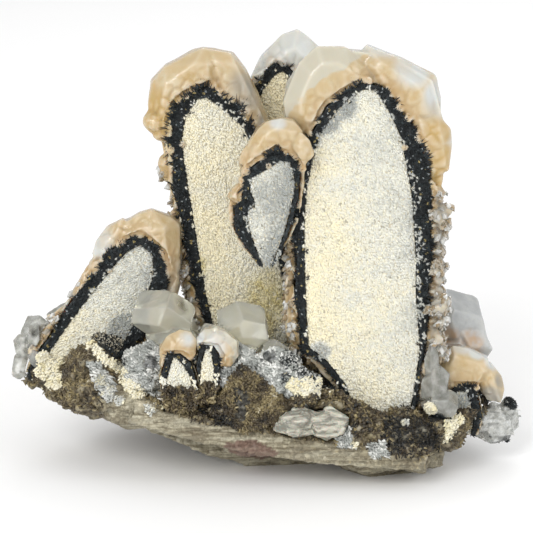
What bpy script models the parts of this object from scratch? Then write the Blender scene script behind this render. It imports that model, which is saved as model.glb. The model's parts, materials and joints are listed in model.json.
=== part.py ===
"""Twinned calcite specimen: tongue-shaped blades with sugary white faces, each edged by
a dark crust and framed by peach calcite, growing with pale calcite and quartz out of a
piece of brown matrix that is flat underneath.

Frame: +Z up, the white faces look towards -Y, the origin is on the flat underside.
Every size in the tables is in millimetres, and MM turns it into metres.
"""

import math
import random

import bmesh
import bpy
from mathutils import Euler, Matrix, Vector

MM = 0.001
GAP = 0.35  # clearance between two pieces that meet
WEDGE_SWELL = 0.8  # how far a wedge's corners move out for that clearance between its faces
FACE_THICKNESS = 3.0  # white plate, from its front to its back
CRUST_PROUD = 0.7  # how far the dark crust stands in front of the white plate
RAGGED_STEP = 7.0  # spacing of the points along a ragged outline
RAGGED_OUT = 0.9  # longest tooth on the dark crust's outer edge
POCKET_DEPTH = 40.0  # how far a cutter reaches out in front of a blade
FLAT_ANGLE = math.radians(3.0)  # faces this nearly level become one
COVER_FROM = 12.0  # the lowest of the crystals that cover a blade's back
COVER_DEPTH = 60.0  # how far back they may reach before they are trimmed
STEP_OUT = 1.3  # the pocket's mouth is wider than its floor by this much all round
STEP_FRONT = -0.9  # where that wider mouth starts, in front of the white plate
LOBE_JITTER = 0.45  # how uneven a lobe's edges are

# A blade stands at root, leans back and to the side, and its rows give, from the foot
# to the tip: height, left edge, right edge, dark crust on the left and on the right.
# The outline is the calcite's, all round, or None where the calcite follows the crust at
# margin. A lobe is a thick crystal in that calcite: its front and back, how far its edges
# are cut away, and its own outline (across, up), which bulges everywhere.
# A crystal has its centre (across, into the blade, up), its size along the same three,
# and its lean to the side.
BLADES = {
    "large_blade": {
        "root": (28.0, -21.0, 14.0),
        "back": 6.0,
        "side": 1.0,
        "thickness": 12.0,
        "rows": [
            (-8, -3, 8, 1.2, 1.0),
            (1, -4, 9.5, 1.2, 1.0),
            (11, -7, 11, 1.4, 1.0),
            (17, -12, 11.5, 1.4, 1.0),
            (21, -17, 12, 1.6, 1.2),
            (36, -18.3, 10.6, 2.0, 3.0),
            (52, -19, 9.8, 2.0, 4.0),
            (62, -18.6, 8.8, 2.4, 4.4),
            (70, -17.2, 7.0, 2.4, 5.0),
            (77, -15.4, 5.6, 2.0, 3.2),
            (83, -11.6, 2.6, 1.8, 2.4),
            (87, -7.8, 0.0, 1.6, 2.0),
            (89, -4.4, -2.0, 1.4, 1.4),
        ],
        "outline": [
            (-6.6, -6), (-7.6, 1), (-10.8, 10.4), (-15.8, 16), (-21, 20), (-23.4, 24), (-23.6, 33),
            (-23.4, 43.5), (-23.4, 50.6), (-23.4, 60), (-23.6, 70), (-24.1, 79.5), (-24.2, 85),
            (-23.3, 90), (-20.3, 95), (-15.9, 98.6), (-9.4, 99), (-3.5, 98.6), (6.2, 96),
            (13.6, 91.6), (15.1, 86.7), (17.4, 78.9), (17.8, 73.7), (17.2, 67.9), (16.6, 62),
            (16.6, 52.6), (16.5, 39.4), (16, 31.4), (15.2, 22), (14.4, 12.5), (12.6, 1),
            (11.6, -6),
        ],
        "lobes": [
            (-2.2, 11, 4, [
                (-24.3, 79.5), (-24.9, 85), (-24, 90.2), (-21, 95.9), (-16.4, 100.1), (-9.4, 100),
                (-5.3, 97.7), (-0.7, 91.6), (-1.1, 85.1), (-11.5, 77.5), (-20.5, 77),
            ]),
            (-0.8, 13, 4.5, [
                (-6, 97.2), (-3.5, 100.1), (6.2, 96.9), (14.3, 92.4), (15.8, 86.7), (15.7, 80.5),
                (10.6, 77.2), (1.3, 83.3), (-3.8, 91),
            ]),
            (-1.4, 9, 2.6, [
                (8.6, 83.5), (15.6, 82.3), (18.6, 78.9), (19.5, 75), (18.4, 68), (14, 66.3),
                (9.7, 73.6),
            ]),
        ],
        "crystals": [],
        "edges": [
            ("right", 19, 64, 12, (5.6, 10.0, 5.6), 2.0),
            ("left", 21, 70, 6, (4.6, 10.0, 10.0), 0.9),
        ],
        "cover": (19.0, (26.0, 11.0, 26.0)),
    },
    "tall_blade": {
        "root": (-2.6, -1.0, 20.0),
        "back": 4.0,
        "side": -9.0,
        "thickness": 8.0,
        "rows": [
            (-6, -6.5, 9, 1.2, 1.0),
            (4, -8, 10, 1.4, 1.0),
            (20, -9.4, 11, 1.8, 1.0),
            (40, -10, 11.2, 2.4, 1.2),
            (54, -9.9, 10.6, 2.8, 1.8),
            (63, -9.7, 9.0, 3.0, 2.0),
            (69, -9.2, 7.4, 3.4, 2.0),
            (74, -7.6, 3.6, 3.8, 2.4),
            (77, -5.2, 0.8, 3.4, 2.6),
            (78.6, -3.4, -1.2, 2.6, 2.6),
        ],
        "outline": [
            (-8.8, -6), (-10.8, 4), (-12.6, 12), (-13.4, 20), (-13.8, 28), (-14.2, 34),
            (-14.6, 42), (-14.8, 49), (-15, 55), (-14.8, 62.4), (-15.2, 68.9), (-16.1, 73.7),
            (-16, 79.1), (-14.6, 84.6), (-10.2, 87.8), (-0.7, 91), (3.2, 90.4), (7.4, 88.4),
            (10.3, 83.2), (12, 77.1), (13.4, 69.3), (14.2, 60), (14.6, 50), (14.6, 30), (13.8, 10),
            (11.8, -6),
        ],
        "lobes": [
            (-2.2, 10, 4, [
                (-15.3, 85.3), (-10.6, 88.8), (-3.5, 91.5), (0.1, 92), (3.4, 90.7), (4.7, 85.3),
                (3.1, 78.8), (-5.1, 73.3), (-14, 67.1), (-16.7, 73.5), (-16.6, 79.2),
            ]),
            (-1.4, 9, 3, [
                (1.4, 91.3), (7.5, 89.5), (10.7, 83.9), (12.3, 77.4), (14, 69.2), (11.7, 64.7),
                (5.5, 71.7), (1.2, 80.5),
            ]),
        ],
        "crystals": [],
        "edges": [
            ("left", 10, 62, 8, (4.6, 9.0, 8.6), 0.7),
            ("right", 10, 56, 5, (4.4, 9.0, 10.0), 0.4),
        ],
        "cover": (18.0, (24.0, 10.0, 24.0)),
    },
    "middle_blade": {
        "root": (0.2, -20.5, 57.5),
        "back": 4.0,
        "side": 8.0,
        "thickness": 6.0,
        "rows": [
            (0, -0.8, 0.8, 1.0, 0.5),
            (4.6, -3.6, 2.0, 2.0, 0.9),
            (9.6, -6.2, 3.0, 3.0, 1.0),
            (13.4, -7.0, 3.5, 3.4, 1.0),
            (16.4, -5.4, 3.8, 2.6, 1.0),
            (19.6, -7.2, 4.0, 1.8, 1.0),
            (22.6, -7.0, 4.0, 1.8, 1.0),
            (25.6, -3.4, 3.2, 2.8, 1.2),
            (28.0, -0.4, 1.8, 2.4, 1.4),
        ],
        "outline": [
            (-1.8, -0.6), (-7.4, 3.8), (-11, 9.2), (-12.2, 13.5), (-12, 17.7), (-9.7, 20.1),
            (-10, 24.3), (-10.5, 27.9), (-8.6, 30.8), (-7, 34.7), (-5, 37.1), (-1.6, 38.4),
            (1.3, 38), (3.7, 36), (6.3, 32.4), (7, 29.8), (6.2, 27.7), (6.4, 22.5), (6.6, 17.3),
            (6.2, 11.9), (4.2, 6.3), (1.2, 0.8),
        ],
        "lobes": [
            (-1.8, 8, 2.4, [
                (-10.1, 23.2), (-11, 27.8), (-8.9, 31.3), (-7.4, 35.2), (-5.1, 37.6), (-1.7, 39.1),
                (1.5, 38.8), (4.2, 36.3), (4.6, 31.6), (-2.8, 24.8), (-7.5, 21.4),
            ]),
            (-2.8, 4, 1.8, [
                (1.8, 33.3), (3.4, 36.1), (5.7, 34.6), (7.8, 31.2), (6.2, 28.1), (3.4, 28.8),
            ]),
            (-1.6, 6, 1.4, [
                (-12.8, 16.2), (-11.9, 19.2), (-9.3, 20.9), (-7.1, 19.9), (-7.2, 17.2),
                (-9.7, 14.8),
            ]),
        ],
        "crystals": [
            ((-3.0, 7.0, 27.0), (12.0, 10.0, 16.0), -10),
            ((-2.4, 12.0, 15.0), (9.0, 19.0, 26.0), -10),
        ],
        "edges": [],
        "cover": None,
    },
    "back_blade": {
        "root": (-2.4, 16.0, 20.0),
        "back": 2.0,
        "side": 4.0,
        "thickness": 9.0,
        "rows": [
            (-8, -9, 9, 1.4, 1.4),
            (20, -9.5, 8.5, 1.6, 1.6),
            (45, -8.6, 7.0, 1.6, 1.6),
            (62, -6.6, 5.0, 1.8, 1.6),
            (72, -5.0, 3.6, 2.0, 1.8),
            (77, -3.8, 2.9, 2.6, 2.0),
            (80.4, -1.4, 2.4, 2.6, 2.0),
            (82, 0.2, 1.6, 2.0, 1.6),
        ],
        "outline": [
            (-11.5, -6), (-12.2, 30), (-12, 50), (-11, 60), (-9.8, 68), (-8.3, 77), (-5.4, 84.6),
            (0.5, 91.2), (4.2, 92.6), (10.2, 88.2), (12.6, 82.1), (13.4, 74), (13.4, 50), (13, 20),
            (12, -6),
        ],
        "lobes": [
            (-1.6, 10, 4, [
                (-7.6, 78.7), (-6.2, 82.7), (-4.8, 85.8), (0.4, 92.2), (4.2, 93.5), (7, 91.8),
                (11.4, 88.3), (13.6, 80.8), (6.5, 72), (-3.8, 71.3),
            ]),
            (-1, 9, 2.6, [
                (8, 88), (13.6, 80.8), (14.2, 66), (9.5, 60), (6, 75),
            ]),
            (-0.8, 8, 2, [
                (-7.6, 78.7), (-10.6, 70), (-12.2, 58), (-9, 54), (-5, 70),
            ]),
        ],
        "crystals": [],
        "edges": [
            ("left", 8, 48, 4, (6.0, 10.0, 11.0), 0.8),
            ("right", 8, 48, 4, (6.4, 10.0, 11.0), 0.8),
        ],
        "cover": (18.0, (24.0, 10.0, 25.0)),
    },
    "leaning_blade": {
        "root": (-56.0, -9.0, 20.0),
        "back": 6.0,
        "side": 40.0,
        "thickness": 8.0,
        "rows": [
            (-2.5, -6.8, 3, 1.6, 1.0),
            (1, -8.0, 4.4, 1.8, 1.0),
            (12, -9.0, 6.0, 2.1, 1.4),
            (20, -9.6, 5.6, 2.4, 2.2),
            (28, -9.9, 3.6, 2.6, 3.0),
            (36, -10.0, 1.4, 3.0, 3.4),
            (41, -9.8, -0.8, 2.8, 3.2),
            (44.6, -8.2, -4.4, 2.2, 2.6),
        ],
        "outline": [
            (-10.0, -2.5), (-11.4, 1), (-12.4, 9), (-12.9, 14), (-13.4, 17.6), (-14.0, 24.1),
            (-14.4, 28.7), (-15.6, 34.9), (-16.6, 38.1), (-16.8, 41.8), (-15.6, 46.2),
            (-13.3, 50.4), (-11.2, 52.8), (-6.3, 54.8), (-3.3, 54.2), (0.9, 50), (4.2, 46),
            (6.6, 42.5), (9.4, 37), (11, 30), (10.8, 20), (9.4, 11), (7.4, 1), (5.4, -2.5),
        ],
        "lobes": [
            (-2.2, 9, 3.4, [
                (-15.7, 39.1), (-15.8, 44.3), (-13.7, 51), (-11.7, 53.6), (-6.6, 55.8),
                (-3.2, 55.5), (0.9, 50.5), (4.6, 44.8), (3.2, 39), (-5.2, 36.5), (-12.8, 34.8),
            ]),
            (-1, 8, 2.4, [
                (-16.6, 34.4), (-18, 38.2), (-18.3, 41.8), (-16.3, 46.6), (-13.3, 47.1),
                (-11.2, 40.4), (-13.3, 32.9),
            ]),
            (-1.2, 8, 1.8, [
                (-13.8, 21.6), (-14.4, 25.7), (-16, 33.6), (-12.8, 34.8), (-11.1, 28.4),
                (-11.3, 21.9),
            ]),
            (-0.6, 8, 1.6, [
                (3.8, 46), (6.8, 42.5), (9.6, 37), (11.2, 30), (9.4, 24), (5, 34),
            ]),
        ],
        "crystals": [],
        "edges": [
            ("left", 2, 17, 3, (5.0, 9.0, 7.0), 0.8),
        ],
        "cover": (14.5, (19.0, 9.0, 19.0)),
    },
    "front_left_blade": {
        "root": (-23.0, -31.5, 24.9),
        "back": 10.0,
        "side": 0.0,
        "thickness": 5.0,
        "margin": 0.9,
        "rows": [
            (-3, -1.8, 3.0, 1.0, 1.0),
            (1, -2.6, 3.9, 1.0, 1.0),
            (5, -2.9, 3.3, 1.3, 1.2),
            (8.4, -1.9, 1.6, 1.6, 1.5),
            (10.6, -1.1, -0.2, 1.3, 1.3),
        ],
        "outline": None,
        "lobes": [
            (-1.8, 5, 2, [
                (-4.6, 9.1), (-4.6, 13.2), (-2.8, 16.4), (0.1, 17.9), (3.2, 17.7), (5.2, 15.3),
                (5, 11.7), (0.5, 6.5), (-3.3, 6.5),
            ]),
        ],
        "crystals": [],
        "edges": [],
        "cover": None,
    },
    "front_right_blade": {
        "root": (-16.0, -30.5, 26.9),
        "back": 10.0,
        "side": 4.0,
        "thickness": 5.0,
        "margin": 0.9,
        "rows": [
            (-3, -0.9, 1.3, 0.6, 0.8),
            (2, -1.3, 1.9, 0.6, 1.0),
            (6, -1.4, 1.9, 0.9, 1.3),
            (9, -0.9, 1.1, 1.3, 1.3),
            (10.8, -0.4, 0.2, 1.3, 1.3),
        ],
        "outline": None,
        "lobes": [
            (-1.8, 5, 2, [
                (-3.3, 9.8), (-3.2, 13.4), (-1.1, 16), (1.5, 16.9), (4.4, 15.8), (7.4, 13.1),
                (8.2, 9.5), (6.1, 6.8), (-0.4, 6.3),
            ]),
        ],
        "crystals": [],
        "edges": [],
        "cover": None,
    },
    "right_blade": {
        "root": (50.5, -17.0, 11.5),
        "back": 8.0,
        "side": 8.0,
        "thickness": 6.0,
        "margin": 1.0,
        "rows": [
            (-1, -2.0, 4.0, 0.8, 1.4),
            (4, -2.0, 4.3, 1.0, 1.8),
            (8, -1.5, 2.6, 1.3, 2.2),
            (10.4, -0.5, 1.4, 1.5, 1.8),
        ],
        "outline": None,
        "lobes": [
            (-1.6, 7, 2.4, [
                (-6.4, 13.1), (-6.3, 18), (-4.2, 21.9), (0.1, 21.9), (5.5, 20), (7.3, 17.2),
                (6, 13.2), (-0.3, 10.2), (-4.9, 10.6),
            ]),
            (-0.6, 8, 2.4, [
                (2.8, 18.2), (7, 18.8), (10.9, 15), (11.9, 11.9), (10.8, 8.4), (7, 8.5),
                (3.6, 12.9),
            ]),
        ],
        "crystals": [],
        "edges": [],
        "cover": None,
    },
}

# Crystals that grew together: the finish, then (centre, size, lean to the side).
CLUSTERS = {
    "pale_crystals_left": ("pale_calcite", [
        ((-27.5, -13.5, 42.0), (16.0, 15.0, 14.0), 16),
        ((-36.0, -13.5, 35.5), (7.0, 9.0, 9.0), 0),
        ((-25.0, -15.0, 35.0), (14.0, 13.0, 12.0), -10),
    ]),
    "pale_crystals_centre": ("pale_calcite", [
        ((-6.2, -17.0, 39.8), (13.0, 13.0, 14.5), -12),
        ((-13.2, -19.5, 37.0), (9.5, 9.0, 9.0), 20),
        ((-8.5, -20.0, 33.5), (12.0, 11.0, 10.0), 0),
        ((2.0, -20.0, 33.2), (7.4, 9.0, 9.0), 14),
    ]),
    "frosted_crystal_right": ("frosted_calcite", [
        ((51.2, 2.0, 35.0), (16.0, 18.0, 20.5), -14),
        ((54.8, 0.0, 31.0), (10.5, 14.0, 16.0), -28),
        ((47.0, 6.0, 32.0), (13.0, 16.0, 22.0), 6),
        ((50.5, -4.5, 28.5), (12.0, 10.0, 12.0), 24),
    ]),
    "clear_crystals_right": ("pale_calcite", [
        ((43.6, -19.0, 31.5), (4.6, 8.0, 13.0), -2),
        ((44.6, -20.0, 25.0), (7.6, 9.0, 12.0), 6),
        ((46.6, -22.0, 20.5), (8.0, 8.0, 8.0), 20),
    ]),
    "left_end_crystals": ("frosted_calcite", [
        ((-60.5, 0.0, 30.0), (13.0, 14.0, 11.0), -14),
        ((-65.6, -4.0, 30.4), (5.0, 7.0, 8.0), -24),
        ((-62.0, -5.0, 33.6), (5.4, 7.0, 8.4), 8),
        ((-58.0, -4.0, 35.2), (5.0, 7.0, 7.4), 26),
        ((-66.6, -5.5, 25.6), (4.4, 6.0, 8.0), 10),
        ((-61.4, -8.0, 29.0), (5.0, 6.0, 7.4), -32),
        ((-57.2, -6.5, 30.6), (4.6, 6.0, 6.4), 14),
        ((-53.4, -1.0, 38.4), (5.6, 7.0, 7.0), 34),
        ((-49.6, 1.0, 42.0), (5.0, 7.0, 6.4), 20),
        ((-63.0, 6.0, 31.0), (9.0, 11.0, 11.0), 12),
        ((-55.0, 9.0, 33.0), (11.0, 12.0, 13.0), -8),
    ]),
    "back_crystals_left": ("pale_calcite", [
        ((-33.0, 12.0, 36.0), (15.0, 13.0, 17.0), -14),
        ((-42.0, 15.0, 31.0), (13.0, 12.0, 13.0), 12),
        ((-24.0, 17.0, 31.0), (14.0, 12.0, 14.0), 20),
        ((-31.0, 22.0, 27.0), (11.0, 10.0, 10.0), -6),
    ]),
    "back_crystals_right": ("pale_calcite", [
        ((28.0, 8.0, 37.0), (15.0, 14.0, 19.0), 10),
        ((37.0, 12.0, 31.0), (13.0, 13.0, 15.0), -16),
        ((21.0, 17.0, 31.0), (14.0, 12.0, 14.0), 18),
        ((31.0, 21.0, 27.0), (12.0, 11.0, 11.0), -8),
    ]),
}

# White quartz, as boulders: (centre, size, turn in the plan view).
QUARTZ = {
    "quartz_druse": [
        ((-31.0, -20.5, 30.0), (15.0, 14.0, 14.0), 20),
        ((-20.0, -22.0, 32.0), (15.0, 13.0, 14.0), 0),
        ((-8.0, -24.0, 31.0), (16.0, 12.0, 14.0), -15),
        ((2.5, -25.0, 30.0), (14.0, 12.0, 14.0), 30),
        ((9.0, -26.5, 26.0), (10.0, 10.0, 12.0), 10),
    ],
    "quartz_end_chunk": [
        ((61.5, -8.0, 10.5), (12.0, 14.0, 12.0), 15),
        ((56.5, -9.5, 12.0), (10.0, 12.0, 9.0), 50),
        ((65.0, -6.5, 11.5), (7.0, 9.0, 12.5), -20),
    ],
}

# The brown matrix: two fibrous sheared slabs along the front, and boulders behind them.
# A slab is (centre, size, turn about the three axes).
SLABS = [
    ((-18.0, -25.0, 15.4), (36.0, 15.0, 6.2), (-14, 15, 2)),
    ((20.5, -24.6, 8.8), (44.0, 16.0, 6.8), (-16, 6, -3)),
]
MATRIX = [
    ((2.0, 7.0, 9.0), (102.0, 48.0, 38.0), 4),
    ((-44.0, -3.0, 20.0), (40.0, 34.0, 19.0), -8),
    ((-44.0, -18.5, 24.0), (22.0, 16.0, 17.0), 25),
    ((-46.5, -20.0, 28.0), (14.5, 11.0, 16.5), 12),
    ((-36.0, -21.5, 20.5), (18.0, 14.0, 15.0), -10),
    ((-24.0, -24.5, 20.0), (25.0, 15.0, 14.0), 12),
    ((-58.0, -5.0, 24.0), (16.0, 19.0, 13.0), 20),
    ((-8.0, -20.0, 19.0), (36.0, 20.0, 16.0), 0),
    ((-4.5, -26.0, 10.4), (15.0, 9.0, 6.4), 8),
    ((16.5, -24.0, 20.0), (13.0, 13.0, 10.0), 20),
    ((9.0, -25.0, 17.0), (24.0, 14.0, 14.5), 8),
    ((22.0, -26.0, 14.5), (26.0, 14.0, 16.0), -10),
    ((36.0, -24.0, 11.5), (22.0, 16.0, 17.0), 30),
    ((44.5, -18.5, 12.0), (18.0, 18.0, 14.0), -20),
    ((52.0, -9.0, 15.0), (17.0, 21.0, 11.0), 15),
    ((30.0, 17.0, 14.0), (38.0, 26.0, 22.0), -12),
    ((-28.0, 18.0, 14.0), (40.0, 24.0, 22.0), 14),
    ((2.0, 24.0, 13.0), (40.0, 20.0, 22.0), 0),
    ((31.0, -15.0, 6.0), (36.0, 26.0, 17.0), 0),
]
UNDERCUT_FROM = -4.0  # where the underside starts to rise towards the left end
UNDERCUT_SLOPE = 19.0  # degrees
SLAB_JITTER = 0.8
WEDGE = [
    (-6.6, -31.0, 34.5),
    (-15.5, -30.0, 21.0),
    (-5.6, -34.5, 16.5),
    (9.8, -30.5, 21.0),
    (-4.0, -22.0, 18.0),
]
PALE_BLOCK = [
    ((8.0, -31.0, 18.8), (13.0, 9.0, 9.0), 10),
    ((16.0, -31.0, 18.0), (12.0, 9.0, 9.5), -20),
]

# Colour, roughness of each mineral.
FINISHES = {
    "white_druse": ((0.86, 0.83, 0.74), 0.85),
    "dark_crust": ((0.035, 0.045, 0.05), 0.45),
    "peach_calcite": ((0.80, 0.58, 0.42), 0.30),
    "pale_calcite": ((0.62, 0.62, 0.53), 0.22),
    "frosted_calcite": ((0.72, 0.74, 0.74), 0.30),
    "quartz": ((0.72, 0.74, 0.75), 0.40),
    "matrix": ((0.30, 0.25, 0.19), 0.90),
    "brown_crust": ((0.27, 0.22, 0.13), 0.80),
    "grey_calcite": ((0.55, 0.53, 0.47), 0.55),
}


def clear_scene():
    for obj in list(bpy.data.objects):
        bpy.data.objects.remove(obj)


def make_collection(name, hidden=False):
    collection = bpy.data.collections.new(name)
    bpy.context.scene.collection.children.link(collection)
    collection.hide_render = hidden
    return collection


def make_material(name):
    colour, roughness = FINISHES[name]
    material = bpy.data.materials.new(name)
    material.use_nodes = True
    shader = material.node_tree.nodes["Principled BSDF"]
    shader.inputs["Base Color"].default_value = (*colour, 1.0)
    shader.inputs["Roughness"].default_value = roughness
    shader.inputs["Metallic"].default_value = 0.0
    return material


def new_object(name, mesh, collection, frame=None):
    obj = bpy.data.objects.new(name, mesh)
    collection.objects.link(obj)
    if frame is not None:
        obj.matrix_world = frame
    return obj


def mesh_from(bm, name):
    """A mesh of a bmesh drawn in millimetres, which is freed."""
    bmesh.ops.recalc_face_normals(bm, faces=bm.faces)
    bmesh.ops.scale(bm, vec=(MM, MM, MM), verts=bm.verts)
    mesh = bpy.data.meshes.new(name)
    bm.to_mesh(mesh)
    bm.free()
    return mesh


def combine(body, other, operation):
    """Joins or cuts. EXACT leaves open seams where this many crystals meet, so it is MANIFOLD."""
    modifier = body.modifiers.new(operation, "BOOLEAN")
    modifier.operation = operation
    modifier.object = other
    modifier.solver = "MANIFOLD"
    bpy.context.view_layer.update()
    graph = bpy.context.evaluated_depsgraph_get()
    mesh = bpy.data.meshes.new_from_object(body.evaluated_get(graph))
    body.modifiers.remove(modifier)
    body.data = mesh


def islands(bm):
    """The separate pieces of a bmesh, each as a list of faces."""
    waiting, found = set(bm.faces), []
    while waiting:
        piece, front = [], [waiting.pop()]
        while front:
            face = front.pop()
            piece.append(face)
            for edge in face.edges:
                for other in edge.link_faces:
                    if other in waiting:
                        waiting.remove(other)
                        front.append(other)
        found.append(piece)
    return found


def signed_volume(faces):
    total = 0.0
    for face in faces:
        corners = [vert.co for vert in face.verts]
        for second, third in zip(corners[1:], corners[2:]):
            total += corners[0].dot(second.cross(third)) / 6
    return total


def keep_biggest(body):
    """Drops the crumbs that a cut leaves, so that the piece is one body."""
    bm = bmesh.new()
    bm.from_mesh(body.data)
    pieces = sorted(islands(bm), key=signed_volume)
    crumbs = [face for piece in pieces[:-1] for face in piece]
    bmesh.ops.delete(bm, geom=crumbs, context="FACES")
    loose = [vert for vert in bm.verts if not vert.link_faces]
    bmesh.ops.delete(bm, geom=loose, context="VERTS")
    bmesh.ops.dissolve_limit(bm, angle_limit=FLAT_ANGLE, verts=bm.verts, edges=bm.edges)
    bmesh.ops.triangulate(bm, faces=bm.faces)
    bm.to_mesh(body.data)
    bm.free()


def world_box(obj):
    corners = [obj.matrix_world @ Vector(corner) for corner in obj.bound_box]
    low = [min(corner[axis] for corner in corners) for axis in range(3)]
    high = [max(corner[axis] for corner in corners) for axis in range(3)]
    return low, high


def boxes_meet(first, second):
    (low_a, high_a), (low_b, high_b) = world_box(first), world_box(second)
    return all(low_a[i] < high_b[i] and low_b[i] < high_a[i] for i in range(3))


def fit_around(body, neighbours):
    """Cuts a piece back from the clearance of every piece already in place."""
    bpy.context.view_layer.update()
    for neighbour in neighbours:
        if boxes_meet(body, neighbour):
            combine(body, neighbour, "DIFFERENCE")
    keep_biggest(body)


def cut_flat(bm, normal, reach):
    """Cuts a convex shape by the plane that stands reach from the middle."""
    everything = bm.verts[:] + bm.edges[:] + bm.faces[:]
    cut = bmesh.ops.bisect_plane(
        bm, geom=everything, plane_co=normal * reach, plane_no=normal, clear_outer=True
    )
    rim = [part for part in cut["geom_cut"] if isinstance(part, bmesh.types.BMEdge)]
    if rim:
        bmesh.ops.edgeloop_fill(bm, edges=rim)


def fit_unit_box(bm):
    """Stretches a shape to fill a box of one unit a side, centred on the origin."""
    sides = []
    for axis in range(3):
        values = [vert.co[axis] for vert in bm.verts]
        sides.append((min(values), max(values)))
    middle = Vector([-(low + high) / 2 for low, high in sides])
    bmesh.ops.translate(bm, vec=middle, verts=bm.verts)
    bmesh.ops.scale(bm, vec=[1 / (high - low) for low, high in sides], verts=bm.verts)


def unit_crystal(rng):
    """A six-sided calcite prism under three sloping faces at each end."""
    bm = bmesh.new()
    bmesh.ops.create_cone(bm, cap_ends=True, segments=6, radius1=0.5, radius2=0.5, depth=1.1)
    slope = math.radians(46)
    for end in (1, -1):
        for third in range(3):
            around = math.radians(120 * third + 90 * end) + rng.uniform(-0.25, 0.25)
            level = math.sin(slope)
            flat = Vector((math.cos(around), math.sin(around), 0.0)) * level
            normal = flat + Vector((0, 0, end * math.cos(slope)))
            cut_flat(bm, normal, rng.uniform(0.37, 0.45))
    bmesh.ops.rotate(bm, matrix=Matrix.Rotation(rng.uniform(-0.3, 0.3), 3, "Z"), verts=bm.verts)
    fit_unit_box(bm)
    return bm


def unit_rhomb(rng):
    """A small calcite rhomb standing on a corner."""
    bm = bmesh.new()
    bmesh.ops.create_cube(bm, size=1.0)
    stand = Vector((1, 1, 1)).rotation_difference(Vector((0, 0, 1))).to_matrix()
    turn = Matrix.Rotation(rng.uniform(0, math.tau), 3, "Z")
    bmesh.ops.rotate(bm, matrix=turn @ stand, verts=bm.verts)
    fit_unit_box(bm)
    return bm


def unit_boulder(rng):
    """A broken lump of rock: a rough ball with a few flat breaks."""
    bm = bmesh.new()
    bmesh.ops.create_icosphere(bm, subdivisions=1, radius=0.5)
    bmesh.ops.delete(bm, geom=bm.edges[:], context="EDGES_FACES")
    for vert in bm.verts:
        vert.co *= rng.uniform(0.85, 1.1)
    hull = bmesh.ops.convex_hull(bm, input=bm.verts)
    bmesh.ops.delete(bm, geom=hull["geom_interior"], context="VERTS")
    for _ in range(3):
        normal = Vector([rng.uniform(-1, 1) for _ in range(3)]).normalized()
        cut_flat(bm, normal, rng.uniform(0.34, 0.4))
    fit_unit_box(bm)
    return bm


def unit_ring(outline, inset):
    """A closed outline drawn in towards its middle, or out of it, by a distance."""
    middle = (
        sum(u for u, _ in outline) / len(outline),
        sum(v for _, v in outline) / len(outline),
    )
    ring = []
    for u, v in outline:
        away = math.dist((u, v), middle)
        share = max(0.15, 1 - inset / away)
        ring.append((middle[0] + (u - middle[0]) * share, middle[1] + (v - middle[1]) * share))
    return ring


def lobe_objects(lobes, seed, swell, tools, frame):
    """The thick crystals of a blade's rim: each is cut away slantwise at its front and back."""
    found = []
    for number, (front, back, chamfer, outline) in enumerate(lobes):
        rng = random.Random(seed * 10 + number)
        levels = [
            (front, 1.1 * chamfer),
            (front + 0.8 * chamfer, 0.0),
            (back - 0.8 * chamfer, 0.0),
            (back, 0.9 * chamfer),
        ]
        bm = bmesh.new()
        for level, inset in levels:
            depth = level + (swell if level > (front + back) / 2 else -swell)
            for u, v in unit_ring(outline, inset):
                jitter = [rng.uniform(-LOBE_JITTER, LOBE_JITTER) for _ in range(3)]
                bm.verts.new((u + jitter[0], depth + jitter[1], v + jitter[2]))
        middle = sum((vert.co for vert in bm.verts), Vector()) / len(bm.verts)
        for vert in bm.verts:
            out = vert.co - middle
            vert.co += Vector((out.x, 0.0, out.z)).normalized() * swell
        hull = bmesh.ops.convex_hull(bm, input=bm.verts)
        bmesh.ops.delete(bm, geom=hull["geom_interior"], context="VERTS")
        found.append(new_object("lobe", mesh_from(bm, "lobe"), tools, frame))
    return found


def place_shape(bm, centre, size, turn, swell, tools, frame):
    """Gives a unit shape its size, swollen outwards where it is a cutter, and its place."""
    full = [side + 2 * swell for side in size]
    bm.transform(Matrix.Translation(centre) @ turn @ Matrix.Diagonal((*full, 1.0)))
    return new_object("shape", mesh_from(bm, "shape"), tools, frame)


def crystal_objects(crystals, seed, swell, tools, frame=None, shape=unit_crystal):
    found = []
    for number, (centre, size, lean) in enumerate(crystals):
        rng = random.Random(seed * 100 + number)
        crystal = shape(rng)
        sway = Matrix.Rotation(math.radians(rng.uniform(-9, 9)), 4, "X")
        turn = Matrix.Rotation(math.radians(lean), 4, "Y") @ sway
        found.append(place_shape(crystal, centre, size, turn, swell, tools, frame))
    return found


def boulder_objects(boulders, seed, swell, tools):
    found = []
    for number, (centre, size, turn) in enumerate(boulders):
        rng = random.Random(seed * 100 + number)
        yaw = Matrix.Rotation(math.radians(turn), 4, "Z")
        found.append(place_shape(unit_boulder(rng), centre, size, yaw, swell, tools, None))
    return found


def take_into(parts, tools, obj, name):
    """Makes a shape the start of a piece of the specimen."""
    obj.name = name
    tools.objects.unlink(obj)
    parts.objects.link(obj)
    return obj


def join_all(body, others):
    for other in others:
        combine(body, other, "UNION")
        bpy.data.objects.remove(other)


def blade_frame(blade):
    """Across, into and up the blade, as a matrix for its objects."""
    lean_back = Matrix.Rotation(math.radians(-blade["back"]), 4, "X")
    lean_side = Matrix.Rotation(math.radians(blade["side"]), 4, "Y")
    return Matrix.Translation(Vector(blade["root"]) * MM) @ lean_back @ lean_side


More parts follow.
